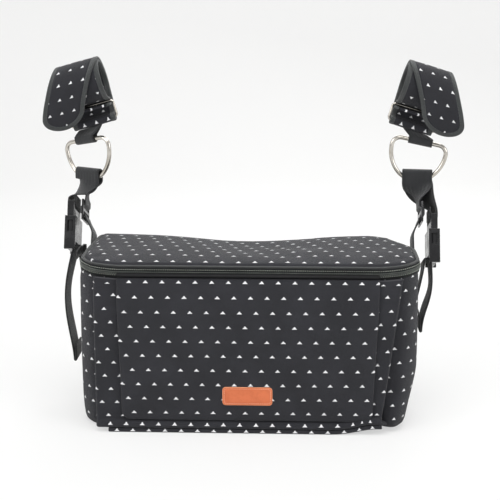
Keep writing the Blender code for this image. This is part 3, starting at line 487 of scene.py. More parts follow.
# %% Plain cloths, webbing and thread
def ribbed_band(name, colour, pitch, depth, edge=0.014, roughness=0.7):
    """Woven band: ribs across its run with a painted highlight on their crests, a finer rib along it and a darker
    turned edge.
    """
    made, tree, shader = new_material(name, colour, roughness)
    place = cloth_place(tree)
    split = node(tree, "ShaderNodeSeparateXYZ", i0=place)
    zigzag = maths(tree, "MULTIPLY", maths(tree, "PINGPONG", split.outputs[0], 0.002), 0.6)
    slant = maths(tree, "ADD", split.outputs[1], zigzag)
    rib = maths(tree, "SINE", maths(tree, "MULTIPLY", slant, 2 * math.pi / pitch))
    fine = maths(tree, "SINE", maths(tree, "MULTIPLY", split.outputs[0], 2 * math.pi / 0.0011))
    height = maths(tree, "ADD", rib, maths(tree, "MULTIPLY", fine, 0.35))
    border = ramp(tree, maths(tree, "ABSOLUTE", split.outputs[0]), edge - 0.0012, edge)
    # Painted highlight: a lighter copy of the colour laid on each rib's crest.
    light = tuple(min(1.0, 1.7 * c) for c in colour)
    tint = blend_colours(tree, maths(tree, "MULTIPLY_ADD", rib, 0.35, 0.4), colour, light)
    tint = blend_colours(tree, maths(tree, "MULTIPLY", border, 0.5), tint, tuple(0.5 * c for c in colour))
    tint = blend_colours(tree, maths(tree, "MULTIPLY", ramp(tree, noise(tree, place, 60, 3), 0.35, 0.8), 0.4), tint,
                         tuple(0.7 * c for c in colour))
    fill(tree, shader, Base_Color=tint, Normal=bump(tree, height, depth, 0.9), Sheen_Weight=0.25,
         Sheen_Roughness=0.4, Specular_IOR_Level=0.4)
    return made


def plain_cloth(name, colour, grain=1400, roughness=0.85, sheen=0.25):
    """Plain woven cloth with a soft mottle, on the object's own coordinates."""
    made, tree, shader = new_material(name, colour, roughness)
    place = object_place(tree)
    mottle = ramp(tree, noise(tree, place, 40, 4), 0.3, 0.75)
    tint = blend_colours(tree, mottle, tuple(0.8 * c for c in colour), tuple(1.3 * c for c in colour))
    fill(tree, shader, Base_Color=tint, Normal=bump(tree, noise(tree, place, grain, 2), 0.0003, 0.7),
         Sheen_Weight=sheen, Specular_IOR_Level=0.3, Sheen_Roughness=0.5)
    return made


webbing_finish = ribbed_band("webbing_black", (0.020, 0.021, 0.023), 0.0015, 0.0003)
tab_finish = ribbed_band("webbing_tab", (0.020, 0.021, 0.023), 0.0015, 0.0003, 0.011)
binding_finish = ribbed_band("binding_tape", (0.040, 0.044, 0.044), 0.0014, 0.0004, 0.006)
zip_tape_finish = plain_cloth("zip_tape_black", (0.009, 0.010, 0.010), sheen=0.02)
lining_finish = plain_cloth("lining_grey", (0.10, 0.10, 0.11), 900)
inner_cloth = plain_cloth("cuff_back", (0.022, 0.023, 0.026))
lid_edge_finish = ribbed_band("lid_edge_tape", (0.027, 0.029, 0.029), 0.0011, 0.0002, 0.006)
# Partly painted shade: the seam strip under the zip is dark cloth, made darker than the zip tape and without sheen to
# stand in for the shade in the crease there.
strip_black_and_shade = plain_cloth("seam_strip_black_and_painted_shade", (0.006, 0.006, 0.007), sheen=0.0)
thread_finish = plain_cloth("thread_dark", (0.060, 0.062, 0.066), 3000, 0.6)
thread_zip = plain_cloth("thread_zip", (0.30, 0.32, 0.28), 3000, 0.6)
thread_tan = plain_cloth("thread_tan", (0.78, 0.40, 0.26), 3000, 0.55)


# %% Metal, plastic and the label's leather
def bright_nickel():
    """Polished plate with a cloudy tone, fine scratches and duller patches."""
    made, tree, shader = new_material("bright_nickel", (0.80, 0.78, 0.74), 0.16, 1.0)
    place = object_place(tree)
    clouds = ramp(tree, noise(tree, place, 55, 3), 0.3, 0.8)
    tint = blend_colours(tree, clouds, (0.64, 0.61, 0.56), (0.42, 0.39, 0.34))
    rough = ramp(tree, noise(tree, place, 420, 4), 0.35, 0.8, 0.12, 0.30)
    fill(tree, shader, Base_Color=tint, Roughness=rough,
         Normal=bump(tree, noise(tree, place, 700, 3), 0.00012, 0.35))
    return made


def moulded_plastic(name, colour, roughness):
    """Moulded acetal: a fine spark texture, rubbed smoother in patches."""
    made, tree, shader = new_material(name, colour, roughness)
    place = object_place(tree)
    rough = ramp(tree, noise(tree, place, 90, 3), 0.3, 0.8, roughness - 0.12, roughness + 0.15)
    clouds = ramp(tree, noise(tree, place, 120, 3), 0.4, 0.8)
    tint = blend_colours(tree, clouds, colour, tuple(1.5 * c for c in colour))
    fill(tree, shader, Base_Color=tint, Roughness=rough,
         Normal=bump(tree, noise(tree, place, 1800, 2), 0.0001, 0.5))
    return made


def patch_leather():
    """Orange tan leather: pebbled grain and darker pores. The label's paler edge is the separate leather_edge finish.
    """
    made, tree, shader = new_material("tan_leather", (0.58, 0.130, 0.045), 0.5)
    place = object_place(tree)
    cells = node(tree, "ShaderNodeTexVoronoi", i0=place)
    fill(tree, cells, Scale=1100)
    pores = ramp(tree, cells.outputs[0], 0.0, 0.6)
    blotch = ramp(tree, noise(tree, place, 160, 4), 0.3, 0.8)
    tint = blend_colours(tree, blotch, (0.63, 0.142, 0.048), (0.52, 0.108, 0.036))
    tint = blend_colours(tree, maths(tree, "MULTIPLY", pores, 0.25), tint, (0.70, 0.22, 0.085))
    fill(tree, shader, Base_Color=tint, Normal=bump(tree, cells.outputs[0], 0.00015, 0.5),
         Roughness=ramp(tree, blotch, 0, 1, 0.42, 0.6))
    return made


nickel_finish = bright_nickel()
buckle_finish = moulded_plastic("black_acetal", (0.006, 0.006, 0.007), 0.28)
slider_finish = moulded_plastic("black_lacquer", (0.018, 0.018, 0.018), 0.32)
teeth_finish = moulded_plastic("zip_nylon", (0.110, 0.120, 0.108), 0.40)
leather_finish = patch_leather()
edge_finish = plain_cloth("leather_edge", (0.80, 0.34, 0.17), 2500, 0.6)

# %% [markdown]
# The bag isn't a stiff box. It narrows towards its back, its right rear corner is tucked in, its
# right foot is lifted, the pocket's right side is drawn in towards the base, the middle of the lid's
# back edge has sunk, and the zip line droops a little at the front. One function moves the body, lid,
# zip, pocket and straps, so that neighbours keep their clearances. The amounts are in metres.

# %% How the bag has settled
GAP = 0.0003
HALF_WIDTH = 0.174
FRONT_Y = -0.055
REAR_Y = 0.068
WALL = 0.003
ZIP_Z = 0.168
LEDGE_Z = 0.1729

BACK_NARROWS = 0.024
LEFT_IN, LEFT_TOP_IN, LEFT_FOOT_IN = 0.0024, 0.0020, 0.0010
RIGHT_IN, RIGHT_FOOT_IN, POCKET_DRAWN_IN = 0.0032, 0.0105, 0.0195
RIGHT_FOOT_FORWARD, HEM_FORWARD, POCKET_TOP_BACK = 0.0115, 0.0050, 0.0040
RIGHT_FOOT_UP, POCKET_FOOT_UP = 0.0036, 0.0026
CORNER_TUCK, CORNER_DOWN = 0.0140, 0.0042
REAR_SINK, DROOP_ENDS, DROOP_MIDDLE = 0.0068, 0.0018, 0.0040


def settle(points, pinch=0.0, corner=1.0):
    """Moves the bag's points: sideways by where they are in depth and height, and down where the top has sunk.

    pinch draws the pocket's right side in towards the base, and corner tucks the right rear corner in.
    """
    points = np.array(points, float)
    x, y, z = points[..., 0].copy(), points[..., 1].copy(), points[..., 2].copy()
    on_bag = smooth((0.196 - z) / 0.020)
    front = smooth((-y - 0.058) / 0.006)
    left = smooth((-x - 0.153) / 0.018) * on_bag
    drawn = smooth((x - 0.10) / 0.05) * np.clip((0.164 - z) / 0.160, 0, 1)
    drawn *= 0.35 + 0.65 * smooth((z - 0.003) / 0.004)
    foot = smooth((x - 0.132) / 0.030) * smooth((0.050 - z) / 0.045) * smooth((0.030 - y) / 0.050)
    tuck = smooth((x - 0.125) / 0.045) * smooth((y - 0.010) / 0.055) * smooth((z - 0.140) / 0.024)
    tuck *= corner * on_bag
    rear = smooth((y + 0.020) / 0.088)
    high = smooth((z - 0.115) / 0.055) * on_bag

    points[..., 0] -= BACK_NARROWS * x * smooth((y + 0.005) / 0.073) * on_bag
    points[..., 0] += (LEFT_IN + LEFT_TOP_IN * smooth((z - 0.155) / 0.010)) * left
    points[..., 0] += LEFT_FOOT_IN * smooth((-x - 0.10) / 0.07) * smooth((0.030 - z) / 0.030)
    points[..., 0] -= RIGHT_IN * smooth((x - 0.150) / 0.024) * on_bag
    points[..., 0] -= RIGHT_FOOT_IN * smooth((x - 0.06) / 0.11) * smooth((0.066 - z) / 0.066) * (1 - pinch)
    points[..., 0] -= POCKET_DRAWN_IN * drawn * pinch
    points[..., 0] -= CORNER_TUCK * tuck

    points[..., 1] -= RIGHT_FOOT_FORWARD * foot * (1 - pinch)
    points[..., 1] -= HEM_FORWARD * smooth((0.0135 - z) / 0.005) * smooth((-y - 0.060) / 0.004)
    points[..., 1] += POCKET_TOP_BACK * smooth((z - 0.130) / 0.030) * front

    lift = RIGHT_FOOT_UP + POCKET_FOOT_UP * pinch
    droop = DROOP_ENDS + DROOP_MIDDLE * smooth((0.176 - np.abs(x)) / 0.050)
    points[..., 2] += lift * smooth((x - 0.085) / 0.050) * smooth((0.040 - z) / 0.040)
    points[..., 2] -= REAR_SINK * np.exp(-((x + 0.004) / 0.085) ** 2) * rear * high
    points[..., 2] -= CORNER_DOWN * tuck * high
    points[..., 2] -= droop * (1 - rear) * smooth((z - 0.150) / 0.014) * on_bag
    return points


def settle_pocket(points):
    """The settling of the pocket and the base's band, whose right side is drawn in."""
    return settle(points, pinch=1.0)


def settle_strap(points):
    """The settling of the straps, which the tucked corner doesn't move."""
    return settle(points, corner=0.0)


def outline(half_x, y_low, y_high, r_front, r_rear, inset, step=0.0045):
    """A round-cornered rectangle seen from above, moved in by inset, from the back's middle round to the left.

    Returns the points and how far along each is from the front's middle, positive to the right.
    """
    hx = half_x - inset
    low, high = y_low + inset, y_high - inset
    room = min(hx, (high - low) / 2)
    rf = min(max(r_front - inset, 0.0004), room)
    rr = min(max(r_rear - inset, 0.0004), room)
    n_front = int(2 * half_x / step / 2) * 2
    n_half = n_front // 2
    n_side = max(int((y_high - y_low) / step), 3)
    turn = np.linspace(0, math.pi / 2, 10)[:-1]
    t_half = np.linspace(0, 1, n_half + 1)[:-1]
    t_side = np.linspace(0, 1, n_side + 1)[:-1]
    t_front = np.linspace(0, 1, n_front + 1)[:-1]

    def line(a, b, t):
        return np.asarray(a) + (np.asarray(b) - np.asarray(a)) * t[:, None]

    def corner(cx, cy, r, start):
        return np.stack([cx + r * np.cos(start + turn), cy + r * np.sin(start + turn)], -1)

    parts = [
        line((0, high), (-hx + rr, high), t_half), corner(-hx + rr, high - rr, rr, math.pi / 2),
        line((-hx, high - rr), (-hx, low + rf), t_side), corner(-hx + rf, low + rf, rf, math.pi),
        line((-hx + rf, low), (hx - rf, low), t_front), corner(hx - rf, low + rf, rf, 1.5 * math.pi),
        line((hx, low + rf), (hx, high - rr), t_side), corner(hx - rr, high - rr, rr, 0),
        line((hx - rr, high), (0, high), t_half),
    ]
    points = np.concatenate(parts)
    loop = lengths(np.concatenate([points, points[:1]]))
    return points, loop - loop[-1] / 2


def rings(shape, insets, heights):
    """The outline's rings, one for each inset and height, seen from above and in space."""
    flat = np.stack([outline(*shape, inset)[0] for inset in insets])
    tall = np.broadcast_to(heights[:, None, None], (*flat.shape[:2], 1))
    return flat, np.concatenate([flat, tall], -1)


def walls(name, shape, profile, finish, rows_finish=None, cloth="wrap", move=settle):
    """Carries a wall's profile round an outline: each profile point gives how far in and how high the ring lies.

    Both ends go on to the outline's middle line, where the ring's front and back meet and are joined.
    """
    middle = (shape[2] - shape[1]) / 2
    profile = np.array([(middle, profile[0][1]), *profile, (middle, profile[-1][1])], float)
    if rows_finish is not None:
        rows_finish = np.concatenate([rows_finish[:1], rows_finish, rows_finish[-1:]])
    flat, points = rings(shape, profile[:, 0], profile[:, 1])
    if cloth == "wrap":
        uv = cloth_map(outline(*shape, 0.0)[1][None, :], profile[:, 1:])
    else:
        uv = np.concatenate([flat, flat[:, :1]], axis=1)
    item = surface(name, move(points), finish, uv, wrap=True, rows_finish=rows_finish)
    merge(item)
    return item


# %% [markdown]
# The body is a box of soft cloth with a padded wall. Its shell is one profile carried round the
# outline: from the middle of the base out, round the lower edge, up the side, over the rim and down
# the lining. The lining is a second, paler cloth.

# %% Body
def puff(z_low, z_high, bulge, count):
    """Heights between two seams, with how far the cloth stands proud of a straight wall: a flat sine."""
    t = np.linspace(0, 1, count)
    return np.stack([-bulge * np.sin(math.pi * t) ** 0.6, z_low + (z_high - z_low) * t], -1)


BODY_SHAPE = (HALF_WIDTH, FRONT_Y, REAR_Y, 0.028, 0.009)
rim_z = ZIP_Z - GAP
body_profile = np.concatenate([
    [(0.050, 0.0006), (0.030, 0.0), (0.009, 0.0), (0.0042, 0.0008), (0.0014, 0.0030), (0.0003, 0.0064)],
    puff(0.0075, 0.158, 0.0010, 26)[1:],
    [(0.0, 0.162), (0.0, rim_z - 0.0006), (0.0006, rim_z), (WALL - 0.0006, rim_z), (WALL, rim_z - 0.0006)],
    [(WALL, z) for z in np.linspace(0.16, 0.012, 10)],
    [(0.0048, 0.0062), (0.010, 0.0042), (0.030, 0.0040), (0.050, 0.0044)],
])
body_rows = np.where(np.arange(len(body_profile) - 1) > len(body_profile) - 16, 1, 0)
bag_body = walls("bag_body", BODY_SHAPE, body_profile, [print_side, lining_finish], body_rows)
put(bag_body, "bag", "fabric_charcoal", "body_shell")
print("bag body", len(bag_body.data.polygons), "faces")

# %% [markdown]
# The lid is a shallow pad. Its cloth is crowned a little inside a raised binding that runs all round
# the rim, and it has sunk in the middle. The crown is a function of how far in from the rim a point
# lies, and the two dimples at the front corners are where the cloth is gathered under the binding.


# %% Lid
LID_CROWN, LID_DIP, LID_DIMPLE, LID_FOLD = 0.0074, 0.0034, 0.0018, 0.0005
LID_SWELL_LEFT, LID_SWELL_RIGHT = 0.0014, 0.0012


def lid_shape(points):
    """Sinks and dimples the lid's top before the bag's own settling."""
    points = np.array(points, float)
    x, y, z = points[..., 0].copy(), points[..., 1].copy(), points[..., 2].copy()
    top = smooth((z - LEDGE_Z - 0.0005) / 0.003)
    points[..., 2] -= LID_DIP * np.exp(-((x - 0.01) / 0.06) ** 2 - ((y - 0.02) / 0.040) ** 2) * top
    points[..., 2] += LID_SWELL_LEFT * np.exp(-((x + 0.085) / 0.045) ** 2 - ((y - 0.005) / 0.04) ** 2) * top
    points[..., 2] += LID_SWELL_RIGHT * np.exp(-((x - 0.085) / 0.05) ** 2 - ((y + 0.005) / 0.04) ** 2) * top
    corner = np.exp(-((np.abs(x) - 0.152) / 0.0045) ** 2 - ((y + 0.038) / 0.0045) ** 2)
    points[..., 2] -= LID_DIMPLE * corner * top
    fold = np.sin((x * 0.8 + y * 1.6) * 2 * math.pi / 0.075) * np.exp(-((x - 0.03) / 0.05) ** 2)
    points[..., 2] += LID_FOLD * fold * top
    return settle(points)


crown = np.linspace(0, 1, 13)[1:]
lid_bottom = ZIP_Z + GAP
lid_profile = np.concatenate([
    [(0.056, LEDGE_Z - 0.0012), (0.030, LEDGE_Z - 0.0012), (WALL + 0.003, LEDGE_Z - 0.0012),
     (WALL, LEDGE_Z - 0.0020), (WALL, lid_bottom + 0.0004), (WALL - 0.0005, lid_bottom), (0.0005, lid_bottom),
     (0.0, lid_bottom + 0.0005), (0.0, LEDGE_Z - 0.0004), (0.0012, LEDGE_Z - 0.0001), (0.0042, LEDGE_Z)],
    np.stack([0.0032 + 0.054 * crown**1.5,
              LEDGE_Z + 0.0010 + LID_CROWN * np.sin(crown * math.pi / 2) ** 0.60], -1),
])
lid_rows = np.where(np.arange(len(lid_profile) - 1) < 4, 1, 0)
bag_lid = walls("bag_lid", BODY_SHAPE, lid_profile, [print_lid, lining_finish], lid_rows, cloth="plan",
                move=lid_shape)
put(bag_lid, "lid", "fabric_lid", "lid")


# %% Rear seam's lining
def seam_lining():
    """Lining cloth that crosses the rear seam: up the rear wall's inside and on under the lid."""
    line = np.array([(0.0648, 0.1560), (0.0648, 0.1620), (0.0648, 0.1670), (0.0645, 0.1698), (0.0636, 0.1706),
                     (0.0622, 0.1709), (0.0606, 0.1711), (0.0590, 0.1712), (0.0572, 0.1712), (0.0550, 0.1712)])
    loop = np.concatenate([line, line[::-1] - 0.0005])
    points = np.empty((80, len(loop), 3))
    points[..., 0] = np.linspace(-0.164, 0.164, 80)[:, None]
    points[..., 1:] = loop
    item = surface("seam_lining", settle(points), lining_finish, wrap=True, ends=(True, True))
    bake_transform(item)


seam_lining()


# %% Lid binding
def band_round(name, shape, centre_in, centre_z, radii, finish, move=settle, count=14):
    """A closed binding round an outline: an oval section with given half width and half height."""
    turn = whole_turn(count)
    points = rings(shape, centre_in - radii[0] * np.cos(turn), centre_z + radii[1] * np.sin(turn))[1]
    points = np.concatenate([points, points[:1]])
    side = np.concatenate([turn, [2 * math.pi]]) * (radii[0] + radii[1]) / 2 - 0.0032
    uv = cloth_map(side[:, None], outline(*shape, 0.0)[1][None, :])
    item = surface(name, move(points), finish, uv, wrap=True)
    merge(item)
    return item


lid_binding = band_round("lid_binding", BODY_SHAPE, 0.0012, LEDGE_Z + 0.0011, (0.0020, 0.0013), lid_edge_finish)
put(lid_binding, "lid", "binding", "lid_piping")

# %% [markdown]
# The zip runs round the front and both sides. Each half is a knitted tape and a row of coil teeth;
# the rows are hundreds of small rounded blocks set along the track, a half pitch apart.

# %% Zip
ZIP_END_Y = 0.026


def zip_track(offset, z, step=0.002):
    """The zip's line at one height, from the left end round the front to the right end, with its outward way."""
    points = outline(*BODY_SHAPE, -offset, 0.003)[0]
    keep = (points[:, 1] < ZIP_END_Y - 0.001)
    loop = points[keep]
    left = np.array([[-(HALF_WIDTH + offset), ZIP_END_Y]])
    path = np.concatenate([left, loop, left * (-1, 1)])
    path = resample(path, step)[0]
    way = unit(np.gradient(path, axis=0))
    out = np.stack([way[:, 1], -way[:, 0]], -1)
    flat = np.zeros((len(path), 1))
    return np.concatenate([path, flat + z], 1), np.concatenate([out, flat], 1)


def zip_tape(name, z_low, z_high, body, half):
    """A strip of tape 0.8 mm thick, a little rounded at its edges."""
    path, out = zip_track(GAP + 0.0004, (z_low + z_high) / 2, 0.003)
    section = webbing_section(z_high - z_low, 0.0008, 5)
    grid = spread(path, (section[:, 0], (0, 0, 1.0)), (section[:, 1], out))
    item = surface(name, settle(grid), zip_tape_finish, wrap=True, ends=(True, True))
    put(item, body, "zip_tape", half)


def zip_teeth(name, z_low, z_high, shift, body, half):
    """Coil teeth: one rounded block for each pitch, a superellipsoid of 5 rings of 8 points."""
    pitch = 0.0021
    path, out = zip_track(GAP + 0.0010, (z_low + z_high) / 2, pitch / 2)
    path, out = path[shift::2], out[shift::2]
    way = np.stack([-out[:, 1], out[:, 0], out[:, 2]], -1)
    turn = whole_turn(8)
    rise = np.linspace(-1, 1, 5)
    r = np.clip(1 - rise**4, 0.05, 1) ** 0.5
    a = (r[:, None] * power(np.cos(turn), 0.6)).ravel() * pitch * 0.34
    b = (r[:, None] * power(np.sin(turn), 0.6)).ravel() * 0.0010
    c = np.broadcast_to(rise[:, None] * (z_high - z_low) / 2, (5, 8)).ravel()
    points = spread(path, (a, way), (b, out), (c, (0, 0, 1.0)))
    item = beads(name, settle(points), 5, teeth_finish)
    put(item, body, "zip_teeth", half)
    print(name, len(path), "teeth")


below, above = ZIP_Z - GAP / 2, ZIP_Z + GAP / 2
zip_tape("zip_tape_below", below - 0.0054, below - 0.0017, "bag", "zip_tape_lower")
zip_tape("zip_tape_above", above + 0.0017, LEDGE_Z - GAP, "lid", "zip_tape_upper")
zip_teeth("zip_row_below", below - 0.0014, below, 0, "bag", "zip_teeth_lower")
zip_teeth("zip_row_above", above, above + 0.0014, 1, "lid", "zip_teeth_upper")
for name, height, body in (("zip_thread_below", below - 0.0022, "bag"),
                           ("zip_thread_above", above + 0.0031, "lid")):
    path, out = zip_track(GAP + 0.0009, height)
    row = stitches(name, settle(path), out, thread_zip, 0.0022, 0.0012, 0.00055)
    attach(row, body)

# %% [markdown]
# The front pocket is a flat bag of its own, sewn on the front. It is the same kind of shell as the
# body: up the outside, over a hemmed edge and down inside. A hem shows under the flap, and below it
# the narrower band at the front edge of the base.

# %% Front pocket
POCKET_SHAPE = (0.1538, -0.0665, -0.0555, 0.0030, 0.0008)
pocket_profile = np.concatenate([
    [(0.0055, 0.0050), (0.0020, 0.0048), (0.0008, 0.0050), (0.0002, 0.0058), (0.0, 0.0070), (0.0, 0.0085),
     (0.0, 0.0100), (0.0, 0.0115)],
    puff(0.0135, 0.150, 0.0, 22),
    [(0.0, 0.1616), (0.0004, 0.1622), (0.0011, 0.1622), (0.0015, 0.1616)],
    [(0.0015, z) for z in (*np.linspace(0.150, 0.0135, 7), 0.0115, 0.0100, 0.0085)],
    [(0.0020, 0.0074), (0.0030, 0.0070), (0.0055, 0.0070)],
])
pocket_rows = np.where(np.arange(len(pocket_profile) - 1) > len(pocket_profile) - 15, 1, 0)
bag_pocket = walls("bag_pocket", POCKET_SHAPE, pocket_profile, [print_pocket, lining_finish], pocket_rows,
                   move=settle_pocket)
put(bag_pocket, "bag", "fabric_charcoal", "front_pocket")

HEM_SHAPE = (0.1502, -0.0670, -0.0560, 0.0020, 0.0008)
hem_profile = [(0.0055, 0.0052), (0.0014, 0.0052), (0.0003, 0.0057), (0.0, 0.0064), (0.0, 0.0090), (0.0, 0.0116),
               (0.0002, 0.0124), (0.0006, 0.0128), (0.0055, 0.0128)]
pocket_hem = walls("pocket_hem", HEM_SHAPE, hem_profile, print_hem, move=settle_pocket)
put(pocket_hem, "bag", "fabric_charcoal")

BASE_SHAPE = (0.1415, -0.0664, -0.0552, 0.0020, 0.0008)
base_profile = [(0.0055, 0.0), (0.0012, 0.0), (0.0003, 0.0003), (0.0, 0.0008), (0.0, 0.0034), (0.0006, 0.0042),
                (0.0018, 0.0045), (0.0055, 0.0045)]
base_band = walls("base_band", BASE_SHAPE, base_profile, print_base, move=settle_pocket)
put(base_band, "bag", "fabric_charcoal")

# %% [markdown]
# The flap hangs over the pocket as a lightly padded panel with round lower corners. It is made flat
# as rings of one outline, from its back's middle over its edge to its front's middle, and stood up.

# %% Flap
FLAP_LOW, FLAP_HIGH = 0.0131, 0.1594
FLAP_BACK = -0.0668
FLAP_FRONT = -0.0708
FLAP_SAG, FLAP_TOP_BACK, FLAP_RIGHT_IN, FLAP_LEFT_IN = 0.0009, 0.0040, 0.0045, 0.0030


def stand_up(points):
    """Lays a ring made in x and y, with its height as depth, into the front's plane."""
    turned = np.stack([points[..., 0], FLAP_BACK - points[..., 2], points[..., 1]], -1)
    x, z = turned[..., 0].copy(), turned[..., 2].copy()
    sag = smooth((z - 0.02) / 0.02) * smooth((0.156 - z) / 0.05) * smooth((0.13 - np.abs(x)) / 0.03)
    turned[..., 1] -= FLAP_SAG * sag * (1 + np.sin(x * 2 * math.pi / 0.21 + 0.8) * 0.5)
    turned[..., 1] += FLAP_TOP_BACK * smooth((z - 0.130) / 0.030)
    turned[..., 0] -= FLAP_RIGHT_IN * smooth(x / 0.13) * smooth((0.16 - z) / 0.15)
    turned[..., 0] += FLAP_LEFT_IN * smooth(-x / 0.13) * smooth((0.16 - z) / 0.15)
    return turned


FLAP_SHAPE = (0.130, FLAP_LOW, FLAP_HIGH, 0.0095, 0.0012)
flap_profile = [(0.050, 0.0003), (0.020, 0.0002), (0.004, 0.0002), (0.0012, 0.0003), (0.0003, 0.0009), (0.0, 0.0017),
                (0.0003, 0.0025), (0.0009, 0.0031), (0.0020, 0.0035), (0.0040, 0.0038), (0.0080, 0.0040),
                (0.020, 0.0040), (0.035, 0.0040), (0.050, 0.0040)]
bag_flap = walls("bag_flap", FLAP_SHAPE, flap_profile, [print_front, inner_cloth],
                 np.where(np.arange(13) < 4, 1, 0), cloth="plan", move=stand_up)
put(bag_flap, "flap", "fabric_charcoal", "front_flap")

# %% [markdown]
# The label is a small leather patch with rounded corners, stitched on near its edge and left bare.

# %% Label
LABEL_Z = 0.040
LABEL_BACK = FLAP_FRONT - 0.0005


def on_flap(points):
    """Stands the patch on the flap's front."""
    return np.stack([points[..., 0], LABEL_BACK - points[..., 2], points[..., 1]], -1)


LABEL_SHAPE = (0.025, LABEL_Z - 0.0095, LABEL_Z + 0.0095, 0.0035, 0.0035)
label_profile = [(0.009, 0.0), (0.003, 0.0), (0.0003, 0.0), (0.0, 0.0003), (0.0, 0.0009), (0.0004, 0.0012),
                 (0.0011, 0.00125), (0.0017, 0.0010), (0.0023, 0.00105), (0.0030, 0.00125), (0.006, 0.0013),
                 (0.009, 0.0013)]
label_patch = walls("label_patch", LABEL_SHAPE, label_profile, [leather_finish, edge_finish],
                    np.where(np.arange(11) < 5, 1, 0), cloth="plan", move=on_flap)
put(label_patch, "flap", "label", "label")
ring = outline(*LABEL_SHAPE, 0.0018, 0.0015)[0]
ring = on_flap(np.concatenate([ring, np.full((len(ring), 1), 0.0011)], 1))
ring = np.concatenate([ring, ring[:1]])
toward_front = np.tile((0, -1.0, 0), (len(ring), 1))
label_thread = stitches("label_thread", ring, toward_front, thread_tan, 0.0022, 0.0016, 0.0003)
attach(label_thread, "flap")


# %% [markdown]
# The cuffs are straps wrapped round a bar. In its section the strap starts at the wire loop's upper
# side, goes up the front, over the bar, down the back, through the loop, and over the bar again to
# a round end that hangs in front. The path is worked out once and both cuffs use it.

# %% Cuff path
SIDES = {
    "left": dict(side=-1, turn=math.radians(30), tilt=math.radians(15.5), cuff_z=0.336, skew=0.029,
                 buckle_z=0.2085, front=False, tail=0.046, bow=0.0078, lean_in=-0.0045),
    "right": dict(side=1, turn=math.radians(8), tilt=math.radians(17), cuff_z=0.333, skew=0.031,
                  buckle_z=0.198, front=True, tail=0.083, bow=0.0030, lean_in=0.0045),
}
HANG_X, HANG_Y, RING_BAR_Z = 0.1795, 0.076, 0.277
BAR_R = 0.019
CUFF_WIDTH = 0.047
BINDING_T, BINDING_W, PANEL_T = 0.003, 0.0055, 0.0024
LOOP_WIRE, LOOP_RISE = 0.0025, 0.0175
TURN_R = LOOP_WIRE / 2 + GAP + BINDING_T / 2
INNER_R = BAR_R + BINDING_T / 2
OUTER_R = INNER_R + BINDING_T + GAP
LOOP_P = -0.001
UPPER_Q = -INNER_R - TURN_R
LOWER_Q = UPPER_Q - LOOP_RISE


def arc(centre, radius, start, stop, steps):
    """Points of a circle's arc, angles in degrees."""
    a = np.radians(np.linspace(start, stop, steps))
    return np.stack([centre[0] + radius * np.cos(a), centre[1] + radius * np.sin(a)], -1)


def bezier(start, start_way, stop, stop_way, reach, steps):
    """A cubic curve that leaves and arrives along the given ways."""
    p0, p3 = np.asarray(start, float), np.asarray(stop, float)
    p1, p2 = p0 + unit(start_way) * reach, p3 - unit(stop_way) * reach
    t = np.linspace(0, 1, steps)[:, None]
    return (1 - t) ** 3 * p0 + 3 * (1 - t) ** 2 * t * p1 + 3 * (1 - t) * t**2 * p2 + t**3 * p3


def join(*parts):
    """One path from several, without doubled points."""
    path = np.concatenate([np.atleast_2d(part) for part in parts])
    keep = np.concatenate([[True], np.linalg.norm(np.diff(path, axis=0), axis=1) > 1e-6])
    return path[keep]


def cuff_path():
    """The strap's middle line in section: p forward, q up from the bar's middle."""
    leave, arrive = math.radians(212), math.radians(200)
    flap_end = (OUTER_R - 0.0068, -0.040)
    return join(
        [(0.010, UPPER_Q - TURN_R), (LOOP_P, UPPER_Q - TURN_R)],
        arc((LOOP_P, UPPER_Q), TURN_R, 270, 90, 9),
        arc((0, 0), INNER_R, -90, 212, 60),
        bezier((INNER_R * math.cos(leave), INNER_R * math.sin(leave)), (-math.sin(leave), math.cos(leave)),
               (LOOP_P, LOWER_Q + TURN_R), (1, 0), 0.010, 14),
        arc((LOOP_P, LOWER_Q), TURN_R, 90, -90, 11),
        bezier((LOOP_P, LOWER_Q - TURN_R), (-1, 0), (OUTER_R * math.cos(arrive), OUTER_R * math.sin(arrive)),
               (math.sin(arrive), -math.cos(arrive)), 0.016, 16),
        arc((0, 0), OUTER_R, 200, 0, 40),
        bezier((OUTER_R, 0), (0, -1), flap_end, (-0.25, -0.97), 0.014, 16),
    )


CUFF = cuff_path()
CUFF_AT = lengths(CUFF)
CUFF_LONG = CUFF_AT[-1]
CUFF_TOP = CUFF_AT[np.argmax(CUFF[:, 1])]
cuff_way = unit(np.gradient(CUFF, axis=0))
CUFF_NORMAL = np.stack([-cuff_way[:, 1], cuff_way[:, 0]], -1)
print("cuff strap", round(CUFF_LONG * 1000, 1), "mm long")


def cuff_frame(spec):
    """Along the bar, forward, up and the bar's middle."""
    tilt = -spec["side"] * spec["tilt"]
    along = np.array([math.cos(tilt), 0, math.sin(tilt)])
    up = np.array([-math.sin(tilt), 0, math.cos(tilt)])
    centre = np.array([spec["side"] * (HANG_X + 0.0015), HANG_Y, spec["cuff_z"]])
    return along, np.array([0, -1.0, 0]), up, centre


def on_cuff(spec, s, w, n):
    """The place of a point of the strap: s along it, w across it and n off its middle."""
    along, forward, up, centre = cuff_frame(spec)
    s, w, n = np.broadcast_arrays(s, w, n)
    p = np.interp(s, CUFF_AT, CUFF[:, 0])
    q = np.interp(s, CUFF_AT, CUFF[:, 1])
    normal = unit(np.stack([np.interp(s, CUFF_AT, CUFF_NORMAL[:, k]) for k in (0, 1)], -1))
    p = p + n * normal[..., 0]
    q = q + n * normal[..., 1]
    slip = spec["side"] * spec["skew"] * smooth((s - CUFF_TOP) / (CUFF_LONG - CUFF_TOP))
    return centre + along * (w + slip)[..., None] + forward * p[..., None] + up * q[..., None]


# %% Cuff panels, bindings and loops
END_LONG = 0.018
ROUND_START = CUFF_LONG - END_LONG


